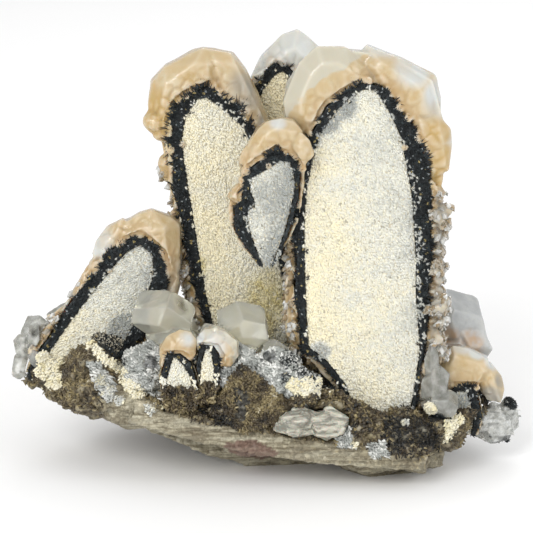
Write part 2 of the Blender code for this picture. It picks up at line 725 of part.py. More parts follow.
def blade_chain(rows, rng):
    """Points up the right edge, over the tip and down the left, each with its crust width."""
    corners = [(right, height, crust) for height, _, right, _, crust in rows]
    corners += [(left, height, crust) for height, left, _, crust, _ in reversed(rows)]
    chain = [corners[0]]
    for start, end in zip(corners, corners[1:]):
        length = math.dist(start[:2], end[:2])
        steps = max(1, round(length / RAGGED_STEP))
        for step in range(1, steps + 1):
            share = step / steps
            u, v, crust = [a + (b - a) * share for a, b in zip(start, end)]
            if step < steps:
                u += rng.uniform(-0.3, 0.3)
                v += rng.uniform(-0.3, 0.3)
            chain.append((u, v, crust))
    return chain


def pushed(chain, distances):
    """An open chain of points moved outwards, each by its own distance, its two feet level."""
    moved = []
    last = len(chain) - 1
    for i, (point, distance) in enumerate(zip(chain, distances)):
        if i == 0:
            along = Vector((0, 1))
        elif i == last:
            along = Vector((0, -1))
        else:
            before, after = chain[i - 1], chain[i + 1]
            along = Vector((after[0] - before[0], after[1] - before[1])).normalized()
        moved.append((point[0] + along.y * distance, point[1] - along.x * distance))
    return moved


def grown(outline, distance):
    """A closed outline moved outwards all round."""
    doubled = sum(a[0] * b[1] - b[0] * a[1] for a, b in zip(outline, outline[1:] + outline[:1]))
    way = 1 if doubled > 0 else -1
    moved = []
    for i, (u, v) in enumerate(outline):
        before, after = outline[i - 1], outline[(i + 1) % len(outline)]
        along = Vector((after[0] - before[0], after[1] - before[1])).normalized()
        moved.append((u + way * along.y * distance, v - way * along.x * distance))
    return moved


def with_foot(chain, drop):
    """Closes a chain below its two feet."""
    first, last = chain[0], chain[-1]
    return [(first[0], first[1] - drop), *chain, (last[0], last[1] - drop)]


def plate(name, outline, front, back, collection, frame):
    """A flat outline with thickness, standing in the blade's frame."""
    curve = bpy.data.curves.new(name, "CURVE")
    curve.dimensions = "2D"
    curve.fill_mode = "BOTH"
    curve.extrude = (back - front) / 2
    spline = curve.splines.new("POLY")
    spline.points.add(len(outline) - 1)
    for point, (u, v) in zip(spline.points, outline):
        point.co = (u, v, 0.0, 1.0)
    spline.use_cyclic_u = True
    flat = new_object(name + "_outline", curve, collection)
    bpy.context.view_layer.update()
    graph = bpy.context.evaluated_depsgraph_get()
    bm = bmesh.new()
    bm.from_mesh(bpy.data.meshes.new_from_object(flat.evaluated_get(graph)))
    bpy.data.objects.remove(flat)
    bmesh.ops.remove_doubles(bm, verts=bm.verts, dist=0.001)
    stand = Matrix.Translation((0, (front + back) / 2, 0)) @ Matrix.Rotation(math.pi / 2, 4, "X")
    bm.transform(stand)
    return new_object(name, mesh_from(bm, name), collection, frame)


def edge_crystals(blade, seed):
    """The rows of small crystals stacked down a blade's edges."""
    rng = random.Random(seed)
    heights = [row[0] for row in blade["rows"]]
    found = []
    for side, low, high, count, size, out in blade["edges"]:
        for number in range(count):
            v = low + (high - low) * (number + 0.5) / count
            upper = next(i for i, height in enumerate(heights) if height > v)
            below, above = blade["rows"][upper - 1], blade["rows"][upper]
            share = (v - below[0]) / (above[0] - below[0])
            row = [a + (b - a) * share for a, b in zip(below, above)]
            edge = row[2] + row[4] + out if side == "right" else row[1] - row[3] - out
            grow = rng.uniform(0.85, 1.2)
            lean = rng.uniform(8, 30) * (1 if side == "right" else -1)
            centre = (edge, 2.5 + rng.uniform(-0.8, 0.8), v)
            found.append((centre, tuple(side_length * grow for side_length in size), lean))
    return found


def cover_crystals(blade, seed):
    """The blocky crystals that cover a blade's back."""
    if blade["cover"] is None:
        return []
    rng = random.Random(seed)
    spacing, size = blade["cover"]
    rows = blade["rows"]
    found = []
    v, odd = COVER_FROM, 0
    while v < rows[-1][0] - spacing / 3:
        upper = next(i for i, row in enumerate(rows) if row[0] > v)
        left, right = rows[upper - 1][1], rows[upper - 1][2]
        u = left + spacing * (0.2 + 0.4 * odd)
        while u < right + spacing * 0.3:
            centre = (
                u + rng.uniform(-1.5, 1.5),
                blade["thickness"] - size[1] * rng.uniform(0.05, 0.3),
                v + rng.uniform(-1.5, 1.5),
            )
            grow = rng.uniform(0.85, 1.15)
            found.append((centre, tuple(side * grow for side in size), rng.uniform(-24, 24)))
            u += spacing
        v += spacing * 0.9
        odd = 1 - odd
    return found


def cover_objects(blade, outline, seed, swell, tools, frame):
    """The cover crystals as one solid, trimmed so that none sticks out past the blade's outline."""
    crystals = cover_crystals(blade, seed)
    if not crystals:
        return []
    cover, *rest = crystal_objects(crystals, seed + 50, swell, tools, frame, unit_rhomb)
    join_all(cover, rest)
    trim = plate("trim", grown(outline, swell), 0.0, COVER_DEPTH, tools, frame)
    combine(cover, trim, "INTERSECT")
    return [cover]


def make_blade(name, blade, seed, parts, tools, placed):
    """A blade's calcite with its pocket, and the dark crust and white plate that lie in it."""
    rng = random.Random(seed)
    frame = blade_frame(blade)
    chain = blade_chain(blade["rows"], rng)
    edge = [(u, v) for u, v, _ in chain]
    widths = [crust for _, _, crust in chain]
    teeth = [0.0] * len(widths)
    for number in range(1, len(widths), 2):
        teeth[number] = rng.uniform(0.5, 1.0) * RAGGED_OUT * min(1.0, widths[number] / 2)
    inner = pushed(edge, [GAP] * len(edge))
    outer = pushed(edge, [width + tooth for width, tooth in zip(widths, teeth)])

    face = plate(name + "_white_face", edge, 0.0, FACE_THICKNESS, parts, frame)
    crust = plate(name + "_dark_crust", outer + inner[::-1], -CRUST_PROUD, FACE_THICKNESS, parts, frame)

    outline = blade["outline"]
    if outline is None:
        outline = pushed(edge, [width + blade["margin"] for width in widths])
    rim_front, back = FACE_THICKNESS * 0.4, blade["thickness"]
    calcite = plate(name + "_calcite", outline, rim_front, back, parts, frame)
    rhombs = edge_crystals(blade, seed)
    join_all(calcite, lobe_objects(blade["lobes"], seed, 0.0, tools, frame))
    join_all(calcite, crystal_objects(blade["crystals"], seed, 0.0, tools, frame))
    join_all(calcite, crystal_objects(rhombs, seed, 0.0, tools, frame, unit_rhomb))
    join_all(calcite, cover_objects(blade, outline, seed, 0.0, tools, frame))
    pocket = [width + tooth + GAP for width, tooth in zip(widths, teeth)]
    for out, floor in ((0.0, FACE_THICKNESS + GAP), (STEP_OUT, STEP_FRONT)):
        opening = with_foot(pushed(edge, [reach + out for reach in pocket]), POCKET_DEPTH)
        tool = plate("pocket", opening, -POCKET_DEPTH, floor, tools, frame)
        combine(calcite, tool, "DIFFERENCE")

    for piece in (calcite, crust, face):
        fit_around(piece, placed)
    calcite.data.materials.append(bpy.data.materials["peach_calcite"])
    crust.data.materials.append(bpy.data.materials["dark_crust"])
    face.data.materials.append(bpy.data.materials["white_druse"])

    front = -CRUST_PROUD - GAP
    clearance = plate("clearance", grown(outline, GAP), front, back + GAP, tools, frame)
    envelope = pushed(edge, [width + RAGGED_OUT + GAP for width in widths])
    join_all(clearance, [plate("apron", with_foot(envelope, GAP), front, back, tools, frame)])
    join_all(clearance, lobe_objects(blade["lobes"], seed, GAP, tools, frame))
    join_all(clearance, crystal_objects(blade["crystals"], seed, GAP, tools, frame))
    join_all(clearance, crystal_objects(rhombs, seed, GAP, tools, frame, unit_rhomb))
    join_all(clearance, cover_objects(blade, outline, seed, GAP, tools, frame))
    placed.append(clearance)


def make_cluster(name, shapes, shape_objects, seed, finish, parts, tools, placed):
    """Crystals or boulders grown together as one solid, fitted around what is in place."""
    first, *rest = shape_objects(shapes, seed, 0.0, tools)
    cluster = take_into(parts, tools, first, name)
    join_all(cluster, rest)
    fit_around(cluster, placed)
    cluster.data.materials.append(bpy.data.materials[finish])
    clearance, *rest = shape_objects(shapes, seed, GAP, tools)
    join_all(clearance, rest)
    placed.append(clearance)


def make_hull(name, points, finish, parts, tools, placed):
    """A solid with flat faces through a few corner points."""
    bm = bmesh.new()
    for point in points:
        bm.verts.new(point)
    bmesh.ops.convex_hull(bm, input=bm.verts)
    solid = new_object(name, mesh_from(bm, name), parts)
    fit_around(solid, placed)
    solid.data.materials.append(bpy.data.materials[finish])
    middle = sum((Vector(point) for point in points), Vector()) / len(points)
    swollen = bmesh.new()
    for point in points:
        outward = Vector(point) - middle
        swollen.verts.new(Vector(point) + outward.normalized() * WEDGE_SWELL)
    bmesh.ops.convex_hull(swollen, input=swollen.verts)
    placed.append(new_object("clearance", mesh_from(swollen, "clearance"), tools))


def rough_box(centre, size, turn, rng):
    """A slab with broken faces."""
    bm = bmesh.new()
    bmesh.ops.create_cube(bm, size=1.0)
    bmesh.ops.subdivide_edges(bm, edges=bm.edges, cuts=1, use_grid_fill=True)
    bmesh.ops.scale(bm, vec=size, verts=bm.verts)
    for vert in bm.verts:
        vert.co += Vector([rng.uniform(-SLAB_JITTER, SLAB_JITTER) for _ in range(3)])
    around = Euler([math.radians(angle) for angle in turn]).to_matrix().to_4x4()
    bm.transform(Matrix.Translation(centre) @ around)
    return bm


def cutting_slab(tools, slope, hinge):
    """A block whose top is the plane through the floor line x = hinge, rising to the left by slope."""
    bm = bmesh.new()
    bmesh.ops.create_cube(bm, size=1.0)
    bmesh.ops.scale(bm, vec=(300, 300, 60), verts=bm.verts)
    bmesh.ops.translate(bm, vec=(0, 0, -30), verts=bm.verts)
    turn = Matrix.Rotation(math.radians(slope), 4, "Y")
    bm.transform(Matrix.Translation((hinge, 0, 0)) @ turn)
    return new_object("below", mesh_from(bm, "below"), tools)


def make_matrix(parts, tools, placed):
    """The brown matrix, flat underneath, with a seat cut for everything that grows from it."""
    rng = random.Random(7)
    first, *rest = boulder_objects(MATRIX, 71, 0.0, tools)
    matrix = take_into(parts, tools, first, "matrix_rock")
    for centre, size, turn in SLABS:
        rest.append(new_object("slab", mesh_from(rough_box(centre, size, turn, rng), "slab"), tools))
    join_all(matrix, rest)
    for slope, hinge in ((0.0, 0.0), (UNDERCUT_SLOPE, UNDERCUT_FROM)):
        combine(matrix, cutting_slab(tools, slope, hinge), "DIFFERENCE")
    fit_around(matrix, placed)
    matrix.data.materials.append(bpy.data.materials["matrix"])


def main():
    clear_scene()
    for name in FINISHES:
        make_material(name)
    parts = make_collection("calcite_specimen")
    tools = make_collection("cutters", hidden=True)
    placed = []
    for number, (name, blade) in enumerate(BLADES.items()):
        make_blade(name, blade, 11 + number, parts, tools, placed)
    for number, (name, (finish, crystals)) in enumerate(CLUSTERS.items()):
        seed = 31 + 2 * number
        make_cluster(name, crystals, crystal_objects, seed, finish, parts, tools, placed)
    make_hull("brown_wedge", WEDGE, "brown_crust", parts, tools, placed)
    for number, (name, boulders) in enumerate(QUARTZ.items()):
        seed = 51 + 2 * number
        make_cluster(name, boulders, boulder_objects, seed, "quartz", parts, tools, placed)
    finish = "grey_calcite"
    make_cluster("pale_block", PALE_BLOCK, boulder_objects, 61, finish, parts, tools, placed)
    make_matrix(parts, tools, placed)
    for tool in list(tools.objects):
        bpy.data.objects.remove(tool)


main()
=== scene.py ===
import json
import math

import bmesh
import bpy
import numpy as np
from mathutils import Matrix, Vector, noise
from mathutils.bvhtree import BVHTree
from mathutils.kdtree import KDTree

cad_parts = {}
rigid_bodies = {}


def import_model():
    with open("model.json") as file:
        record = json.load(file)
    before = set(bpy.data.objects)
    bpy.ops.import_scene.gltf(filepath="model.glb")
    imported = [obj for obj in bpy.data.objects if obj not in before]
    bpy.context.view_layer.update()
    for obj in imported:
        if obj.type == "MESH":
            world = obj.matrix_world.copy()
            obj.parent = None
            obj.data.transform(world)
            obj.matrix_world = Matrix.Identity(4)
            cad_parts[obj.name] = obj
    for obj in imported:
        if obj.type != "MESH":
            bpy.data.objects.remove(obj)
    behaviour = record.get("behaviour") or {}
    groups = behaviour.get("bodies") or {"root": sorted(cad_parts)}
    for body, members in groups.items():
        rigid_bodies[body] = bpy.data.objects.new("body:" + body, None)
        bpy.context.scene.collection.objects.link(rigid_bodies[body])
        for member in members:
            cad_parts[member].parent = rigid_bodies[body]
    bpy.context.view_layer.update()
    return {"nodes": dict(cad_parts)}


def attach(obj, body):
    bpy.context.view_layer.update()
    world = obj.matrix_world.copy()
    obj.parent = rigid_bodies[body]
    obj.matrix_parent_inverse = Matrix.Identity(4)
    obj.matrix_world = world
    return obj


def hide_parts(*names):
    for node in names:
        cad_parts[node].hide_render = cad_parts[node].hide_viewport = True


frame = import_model()
nodes = frame["nodes"]
mm = 0.001
rng = np.random.default_rng(21)
print("frame loaded,", len(nodes), "nodes")

# How each blade stands: degrees it leans back, degrees it leans to the right.
bladeLean = {
    "large_blade": (6, 1),
    "tall_blade": (4, -9),
    "middle_blade": (4, 8),
    "back_blade": (2, 4),
    "leaning_blade": (6, 40),
    "front_left_blade": (10, 0),
    "front_right_blade": (10, 4),
    "right_blade": (8, 8),
}


def bladeTurn(blade):
    back, side = (math.radians(angle) for angle in bladeLean[blade])
    return Matrix.Rotation(-back, 3, "X") @ Matrix.Rotation(side, 3, "Y")


bladeAxes = {blade: np.array(bladeTurn(blade)) for blade in bladeLean}


def mergedCopy(node):
    bm = bmesh.new()
    bm.from_mesh(nodes[node].data)
    bmesh.ops.remove_doubles(bm, verts=bm.verts, dist=1e-6)
    return bm


def treeOf(mesh):
    bm = bmesh.new()
    bm.from_mesh(mesh)
    tree = BVHTree.FromBMesh(bm)
    bm.free()
    return tree


def show(thing):
    bpy.context.scene.collection.objects.link(thing)
    return thing


def skinOver(node, bm, voxel, smoothing=2):
    # one closed skin of even small faces over everything in bm
    mesh = bpy.data.meshes.new(node + "_raw")
    bm.to_mesh(mesh)
    bm.free()
    raw = show(bpy.data.objects.new(node + "_raw", mesh))
    remesh = raw.modifiers.new("remesh", "REMESH")
    remesh.mode = "VOXEL"
    remesh.voxel_size = voxel * mm
    remesh.use_smooth_shade = True
    soften = raw.modifiers.new("soften", "SMOOTH")
    soften.factor = 0.5
    soften.iterations = smoothing
    bpy.context.view_layer.update()
    graph = bpy.context.evaluated_depsgraph_get()
    skin = bpy.data.meshes.new_from_object(raw.evaluated_get(graph))
    skin.name = node + "_skin"
    bpy.data.objects.remove(raw)
    return skin


def pointsOf(mesh):
    co = np.empty(len(mesh.vertices) * 3)
    mesh.vertices.foreach_get("co", co)
    return co.reshape(-1, 3)


def normalsOf(mesh):
    out = np.empty(len(mesh.vertices) * 3, np.float32)
    mesh.vertex_normals.foreach_get("vector", out)
    return out.reshape(-1, 3).astype(float)


def setPoints(mesh, co):
    mesh.vertices.foreach_set("co", np.ascontiguousarray(co, np.float32).ravel())
    mesh.update()


def raised(mesh, height):
    # moves every point out along its normal, by so many mm, and gives the new places
    co = pointsOf(mesh) + normalsOf(mesh) * (height * mm)[:, None]
    setPoints(mesh, co)
    return co


def setMark(mesh, label, values):
    mark = mesh.attributes.new(label, "FLOAT", "POINT")
    mark.data.foreach_set("value", np.ascontiguousarray(values, np.float32))


def setEdges(mesh, times, reach):
    # marks how far each point stands out of, or lies in, its surroundings: ridge and hollow, 0 to 1; the materials
    # use them for a painted highlight on ridges and a painted shade in hollows
    co = pointsOf(mesh)
    ends = np.empty(len(mesh.edges) * 2, np.int32)
    mesh.edges.foreach_get("vertices", ends)
    a, b = ends.reshape(-1, 2).T
    count = np.bincount(a, minlength=len(co)) + np.bincount(b, minlength=len(co))
    soft = co.copy()
    for _ in range(times):
        total = np.stack([np.bincount(a, soft[b, k], len(co)) + np.bincount(b, soft[a, k], len(co))
                          for k in range(3)], 1)
        soft = 0.4 * soft + 0.6 * total / np.maximum(count, 1)[:, None]
    out = np.einsum("ij,ij->i", co - soft, normalsOf(mesh)) / (reach * mm)
    setMark(mesh, "ridgeHighlight", np.clip(out, 0, 1))
    setMark(mesh, "hollowShade", np.clip(-out, 0, 1))


def softNoise(co, size, octaves=3, shift=0.0):
    # about -1 to 1, with features of that size in mm
    k = 1 / (size * mm)
    return np.array([noise.fractal((x * k + shift, y * k - shift, z * k + 2 * shift), 0.8, 2.1, octaves)
                     for x, y, z in co.tolist()])


def cellNoise(co, size, shift=0.0):
    # distance to the nearest cell centre, and how near a cell's edge a point is, both about 0 to 1
    k = 1 / (size * mm)
    near = np.array([noise.voronoi((x * k + shift, y * k, z * k - shift))[0][:2]
                     for x, y, z in co.tolist()])
    return near[:, 0], np.clip(near[:, 1] - near[:, 0], 0, 1)


def smoothStep(low, high, x):
    t = np.clip((x - low) / (high - low), 0, 1)
    return t * t * (3 - 2 * t)


def nearSpots(co, spots):
    # 1 at a spot's middle, 0 from its radius on; spots are (x, y, z, radius) in mm
    out = np.zeros(len(co))
    for x, y, z, r in spots:
        away = np.linalg.norm(co / mm - np.array((x, y, z)), axis=1)
        out = np.maximum(out, 1 - smoothStep(r * 0.45, r, away))
    return out


def inAreas(co, areas, ragged=0.8):
    # 1 inside outlines given as seen from the front, 15 degrees above: (across, up) in mm
    across = co[:, 0] / mm + ragged * softNoise(co, 2.2, 3, 51.0)
    up = (0.966 * co[:, 2] + 0.259 * co[:, 1]) / mm + ragged * softNoise(co, 2.2, 3, 71.0)
    out = np.zeros(len(co), bool)
    for corners in areas:
        inside = np.zeros(len(co), bool)
        for (x0, u0), (x1, u1) in zip(corners, corners[1:] + corners[:1]):
            crosses = (u0 > up) != (u1 > up)
            inside ^= crosses & (across < (x1 - x0) * (up - u0) / (u1 - u0 + 1e-9) + x0)
        out |= inside
    return (out & (co[:, 1] < -6 * mm)).astype(float)


def dress(mesh, material):
    mesh.materials.clear()
    mesh.materials.append(material)


def addPiece(name, mesh, material, replaced=()):
    piece = show(bpy.data.objects.new(name, mesh))
    dress(mesh, material)
    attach(piece, "root")
    if replaced:
        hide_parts(*replaced)


def addSkin(node, mesh, material):
    addPiece(node + "_skin", mesh, material, [node])


def rhombShape():
    # a leaning cleavage block, one unit across
    bm = bmesh.new()
    bmesh.ops.create_cube(bm, size=1.0)
    lean = Matrix(((1, 0.22, 0.18), (0, 1, 0.2), (0, 0, 0.9)))
    bmesh.ops.transform(bm, matrix=lean.to_4x4(), verts=bm.verts)
    return bm


def flakeShape():
    # a thin pointed plate, one unit long on Z
    bm = bmesh.new()
    bmesh.ops.create_cone(bm, cap_ends=False, segments=4, radius1=0.5, radius2=0.0, depth=0.5)
    bmesh.ops.translate(bm, vec=(0, 0, 0.25), verts=bm.verts)
    bmesh.ops.mirror(bm, geom=bm.verts[:] + bm.edges[:] + bm.faces[:], axis="Z", merge_dist=1e-4)
    bmesh.ops.recalc_face_normals(bm, faces=bm.faces)
    return bm


def addCopies(name, spots, turns, sizes, marks, material, shape=rhombShape):
    # one piece of many copies of a small shape: spots n x 3, turns n x 3 x 3, sizes n x 3
    bm = shape()
    bm.verts.index_update()
    points = np.array([v.co[:] for v in bm.verts])
    corners = np.array([v.index for f in bm.faces for v in f.verts])
    starts = np.cumsum([0] + [len(f.verts) for f in bm.faces])[:-1]
    bm.free()
    n, k = len(spots), len(points)
    copy = np.arange(n)[:, None]
    co = np.einsum("nij,nkj->nki", turns, points * sizes[:, None]) + spots[:, None]
    mesh = bpy.data.meshes.new(name)
    for items, count, label, values in (
            (mesh.vertices, n * k, "co", co.astype(np.float32)),
            (mesh.loops, n * len(corners), "vertex_index", (corners + k * copy).astype(np.int32)),
            (mesh.polygons, n * len(starts), "loop_start", (starts + len(corners) * copy).astype(np.int32))):
        items.add(count)
        items.foreach_set(label, values.ravel())
    mesh.update(calc_edges=True)
    for label, values in marks.items():
        setMark(mesh, label, np.repeat(values, k))
    addPiece(name, mesh, material)


def anyTurn(n):
    q = rng.normal(size=(n, 4))
    q /= np.linalg.norm(q, axis=1)[:, None]
    w, x, y, z = q.T
    return np.stack([
        np.stack([1 - 2 * (y * y + z * z), 2 * (x * y - z * w), 2 * (x * z + y * w)], 1),
        np.stack([2 * (x * y + z * w), 1 - 2 * (x * x + z * z), 2 * (y * z - x * w)], 1),
        np.stack([2 * (x * z - y * w), 2 * (y * z + x * w), 1 - 2 * (x * x + y * y)], 1)], 1)


def anySizes(n, *ranges):
    # n sizes along each axis, each from its own range in mm
    return np.stack([rng.uniform(*ends, n) for ends in ranges], 1) * mm


def turnAlong(ways, facing, roll):
    # columns: along each way, across it, and out of the surface
    a = ways / np.linalg.norm(ways, axis=1)[:, None]
    c = np.cross(a, np.broadcast_to(facing, a.shape))
    c /= np.maximum(np.linalg.norm(c, axis=1), 1e-9)[:, None]
    b = np.cross(c, a)
    cr, sr = np.cos(roll)[:, None], np.sin(roll)[:, None]
    return np.stack([a, c * cr + b * sr, b * cr - c * sr], 2)


def newMaterial(name):
    material = bpy.data.materials.new(name)
    material.use_nodes = True
    tree = material.node_tree
    return material, tree, tree.nodes["Principled BSDF"]


def feed(tree, socket, value):
    # links a socket, or sets a colour or a number
    if isinstance(value, bpy.types.NodeSocket):
        tree.links.new(value, socket)
    else:
        socket.default_value = (*value, 1) if socket.type == "RGBA" else value


def setInputs(tree, node, values):
    for label, value in values.items():
        feed(tree, node.inputs[label], value)


def mixNode(tree, factor, a, b):
    mix = tree.nodes.new("ShaderNodeMix")
    mix.data_type = "RGBA"
    for i, value in ((0, factor), (6, a), (7, b)):
        feed(tree, mix.inputs[i], value)
    return mix.outputs[2]


def rangeNode(tree, *values):
    # value, from low, from high, to low, to high; the last two are 0 and 1 if left out
    node = tree.nodes.new("ShaderNodeMapRange")
    for socket, value in zip(node.inputs, values):
        feed(tree, socket, value)
    return node.outputs[0]


def mathNode(tree, kind, a, b):
    node = tree.nodes.new("ShaderNodeMath")
    node.operation = kind
    feed(tree, node.inputs[0], a)
    feed(tree, node.inputs[1], b)
    return node.outputs[0]


def markNode(tree, label):
    node = tree.nodes.new("ShaderNodeAttribute")
    node.attribute_name = label
    return node.outputs["Fac"]


def marksNode(tree, colour, *steps):
    # lays one colour over another where a painted mark says so: (mark, colour, how strongly) steps
    for label, over, *weight in steps:
        mark = markNode(tree, label)
        if weight:
            mark = mathNode(tree, "MULTIPLY", mark, weight[0])
        colour = mixNode(tree, mark, colour, over)
    return colour


def placeNode(tree, turn=(0, 0, 0), stretch=(1, 1, 1)):
    # object coordinates, turned and stretched
    place = tree.nodes.new("ShaderNodeTexCoord").outputs["Object"]
    if turn == (0, 0, 0) and stretch == (1, 1, 1):
        return place
    mapping = tree.nodes.new("ShaderNodeMapping")
    setInputs(tree, mapping, {"Vector": place, "Rotation": [math.radians(a) for a in turn], "Scale": stretch})
    return mapping.outputs[0]


def newGroup(name, inputs, outputs):
    group = bpy.data.node_groups.new(name, "ShaderNodeTree")
    for way, sockets in (("INPUT", inputs), ("OUTPUT", outputs)):
        for label, kind in sockets.items():
            group.interface.new_socket(label, in_out=way, socket_type="NodeSocket" + kind)
    return group, group.nodes.new("NodeGroupInput").outputs, group.nodes.new("NodeGroupOutput")


def buildMottle():
    # cloudy patches of two colours at a size in mm
    inputs = {"Place": "Vector"} | dict.fromkeys(("Size", "Low", "High"), "Float")
    inputs |= dict.fromkeys(("First", "Second"), "Color")
    group, start, end = newGroup("mineralMottle", inputs, {"Colour": "Color", "Mask": "Float"})
    cloud = group.nodes.new("ShaderNodeTexNoise")
    setInputs(group, cloud, {"Vector": start["Place"], "Scale": mathNode(group, "DIVIDE", 1 / mm, start["Size"]),
                             "Detail": 5, "Roughness": 0.62})
    mask = rangeNode(group, cloud.outputs[0], start["Low"], start["High"])
    setInputs(group, end, {"Colour": mixNode(group, mask, start["First"], start["Second"]), "Mask": mask})
    return group


def buildSpeck():
    # small scattered dots: share is about how much of the surface they take
    inputs = {"Place": "Vector", "Size": "Float", "Share": "Float"}
    group, start, end = newGroup("mineralSpeck", inputs, {"Mask": "Float"})
    cells = group.nodes.new("ShaderNodeTexVoronoi")
    setInputs(group, cells, {"Vector": start["Place"], "Scale": mathNode(group, "DIVIDE", 1 / mm, start["Size"])})
    split = group.nodes.new("ShaderNodeSeparateColor")
    group.links.new(cells.outputs["Color"], split.inputs[0])
    setInputs(group, end, {"Mask": mathNode(group, "LESS_THAN", split.outputs[0], start["Share"])})
    return group


mottleGroup = buildMottle()
speckGroup = buildSpeck()


def groupNode(tree, group, values):
    node = tree.nodes.new("ShaderNodeGroup")
    node.node_tree = group
    setInputs(tree, node, values)
    return node.outputs


def mottleNode(tree, place, size, low, high, first=(0, 0, 0), second=(1, 1, 1)):
    # its colour and its mask
    return groupNode(tree, mottleGroup, {"Place": place, "Size": size, "Low": low, "High": high,
                                         "First": first, "Second": second}).values()


def speckNode(tree, place, size, share):
    return groupNode(tree, speckGroup, {"Place": place, "Size": size, "Share": share})["Mask"]


def bumpNode(tree, shader, height, strength, distance):
    bump = tree.nodes.new("ShaderNodeBump")
    setInputs(tree, bump, {"Strength": strength, "Distance": distance * mm, "Height": height})
    tree.links.new(bump.outputs[0], shader.inputs["Normal"])


def surface(tree, shader, colour, mask, atLow, atHigh):
    # its colour, and its roughness where the mask is 0 and where it is 1
    setInputs(tree, shader, {"Base Color": colour, "Roughness": rangeNode(tree, mask, 0, 1, atLow, atHigh)})


def glow(tree, shader, weight, depth, radius=(1.0, 0.2, 0.1)):
    # light scattered inside: how much, how deep in mm, and how far each colour goes
    setInputs(tree, shader, {"Subsurface Weight": weight, "Subsurface Scale": depth * mm,
                             "Subsurface Radius": radius})


sugarLook = {"cool": (0.38, 0.39, 0.365), "ivory": (0.80, 0.785, 0.685), "cream": (0.97, 0.885, 0.63),
             "olive": (0.70, 0.60, 0.30), "stain": (0.22, 0.19, 0.13), "roughness": 0.5}


def sugarMaterial(look):
    material, tree, shader = newMaterial("sugaryCalcite")
    warm = markNode(tree, "warm")
    low = mixNode(tree, rangeNode(tree, warm, 0.0, 0.5), look["cool"], look["ivory"])
    colour = mixNode(tree, rangeNode(tree, warm, 0.5, 1.0), low, look["cream"])
    mottled, mask = mottleNode(tree, placeNode(tree), 2.2, 0.60, 0.78, colour, look["stain"])
    colour = mixNode(tree, 0.18, colour, mottled)
    # olive is a yellow-olive tint; low on the tall face it is partly a painted shade under the overhanging middle
    # blade.
    colour = marksNode(tree, colour, ("olive", look["olive"]), ("stain", look["stain"]))
    surface(tree, shader, colour, mask, look["roughness"], 0.8)
    glow(tree, shader, 0.25, 0.8, (1.0, 0.85, 0.6))
    return material


# The plate under the grains is darker than they are: a painted shade that shows in the gaps between the grains.
groundLook = {"light": (0.80, 0.76, 0.62), "dark": (0.52, 0.46, 0.34), "roughness": 0.85}


def groundMaterial(look):
    material, tree, shader = newMaterial("betweenGrainsShade")
    colour, mask = mottleNode(tree, placeNode(tree), 1.6, 0.4, 0.6, look["light"], look["dark"])
    surface(tree, shader, colour, mask, 0.7, look["roughness"])
    bumpNode(tree, shader, mask, 0.5, 0.4)
    return material


crustLook = {"black": (0.006, 0.009, 0.010), "grey": (0.050, 0.070, 0.076), "gold": (0.42, 0.33, 0.13),
             "glint": (0.34, 0.37, 0.38)}


def crustMaterial(look):
    material, tree, shader = newMaterial("blackCrust")
    place = placeNode(tree)
    colour, mask = mottleNode(tree, place, 1.2, 0.50, 0.74, look["black"], look["grey"])
    colour = mixNode(tree, speckNode(tree, place, 0.6, 0.014), colour, look["gold"])
    colour = mixNode(tree, speckNode(tree, placeNode(tree, (20, 0, 40)), 0.45, 0.020), colour, look["glint"])
    surface(tree, shader, colour, mask, 0.6, 0.25)
    bumpNode(tree, shader, mask, 0.6, 0.3)
    return material


# The first colour is a painted shade: the dark brown strip where the crust meets the peach calcite, also laid into
# hollows.
peachLook = {"crustEdgeShade": (0.26, 0.165, 0.07), "orange": (0.45, 0.30, 0.135), "peach": (0.56, 0.435, 0.25),
             "beige": (0.555, 0.52, 0.415), "frost": (0.60, 0.615, 0.595), "vein": (0.67, 0.61, 0.47),
             "grey": (0.33, 0.31, 0.265), "amber": (0.50, 0.34, 0.12), "edge": (0.80, 0.77, 0.68)}


def peachMaterial(look):
    # colour follows how far a point is from the dark crust, then the painted marks
    material, tree, shader = newMaterial("peachCalcite")
    place = placeNode(tree)
    away = markNode(tree, "bandDistance")
    # Nearest the crust the colour is a painted shade; further out it turns to the calcite's own orange and peach.
    colour = mixNode(tree, rangeNode(tree, away, 0.1, 0.9), look["crustEdgeShade"], look["orange"])
    colour = mixNode(tree, rangeNode(tree, away, 1.0, 4.5), colour, look["peach"])
    veined, _ = mottleNode(tree, place, 5.0, 0.50, 0.72, colour, look["vein"])
    colour = mixNode(tree, 0.45, colour, veined)
    amber, _ = mottleNode(tree, placeNode(tree, (30, 10, 0)), 6.0, 0.58, 0.70, colour, look["amber"])
    colour = mixNode(tree, 0.6, colour, amber)
    # Ridges are painted lighter, a painted highlight that partly stands for whitish frosted edges. Hollows are
    # painted darker, a painted shade.
    colour = marksNode(tree, colour, ("dome", look["beige"]), ("frost", look["frost"]), ("grey", look["grey"]),
                       ("amber", look["amber"]), ("ridgeHighlight", look["edge"], 0.55), ("hollowShade", look["crustEdgeShade"], 0.6))
    _, fine = mottleNode(tree, place, 1.3, 0.35, 0.7)
    surface(tree, shader, colour, fine, 0.08, 0.26)
    glow(tree, shader, 0.55, 2.2, (1.0, 0.70, 0.48))
    setInputs(tree, shader, {"Transmission Weight": 0.15, "IOR": 1.50})
    _, growth = mottleNode(tree, placeNode(tree, stretch=(1, 1, 0.16)), 1.1, 0.35, 0.7)
    bumpNode(tree, shader, growth, 0.35, 0.14)
    return material


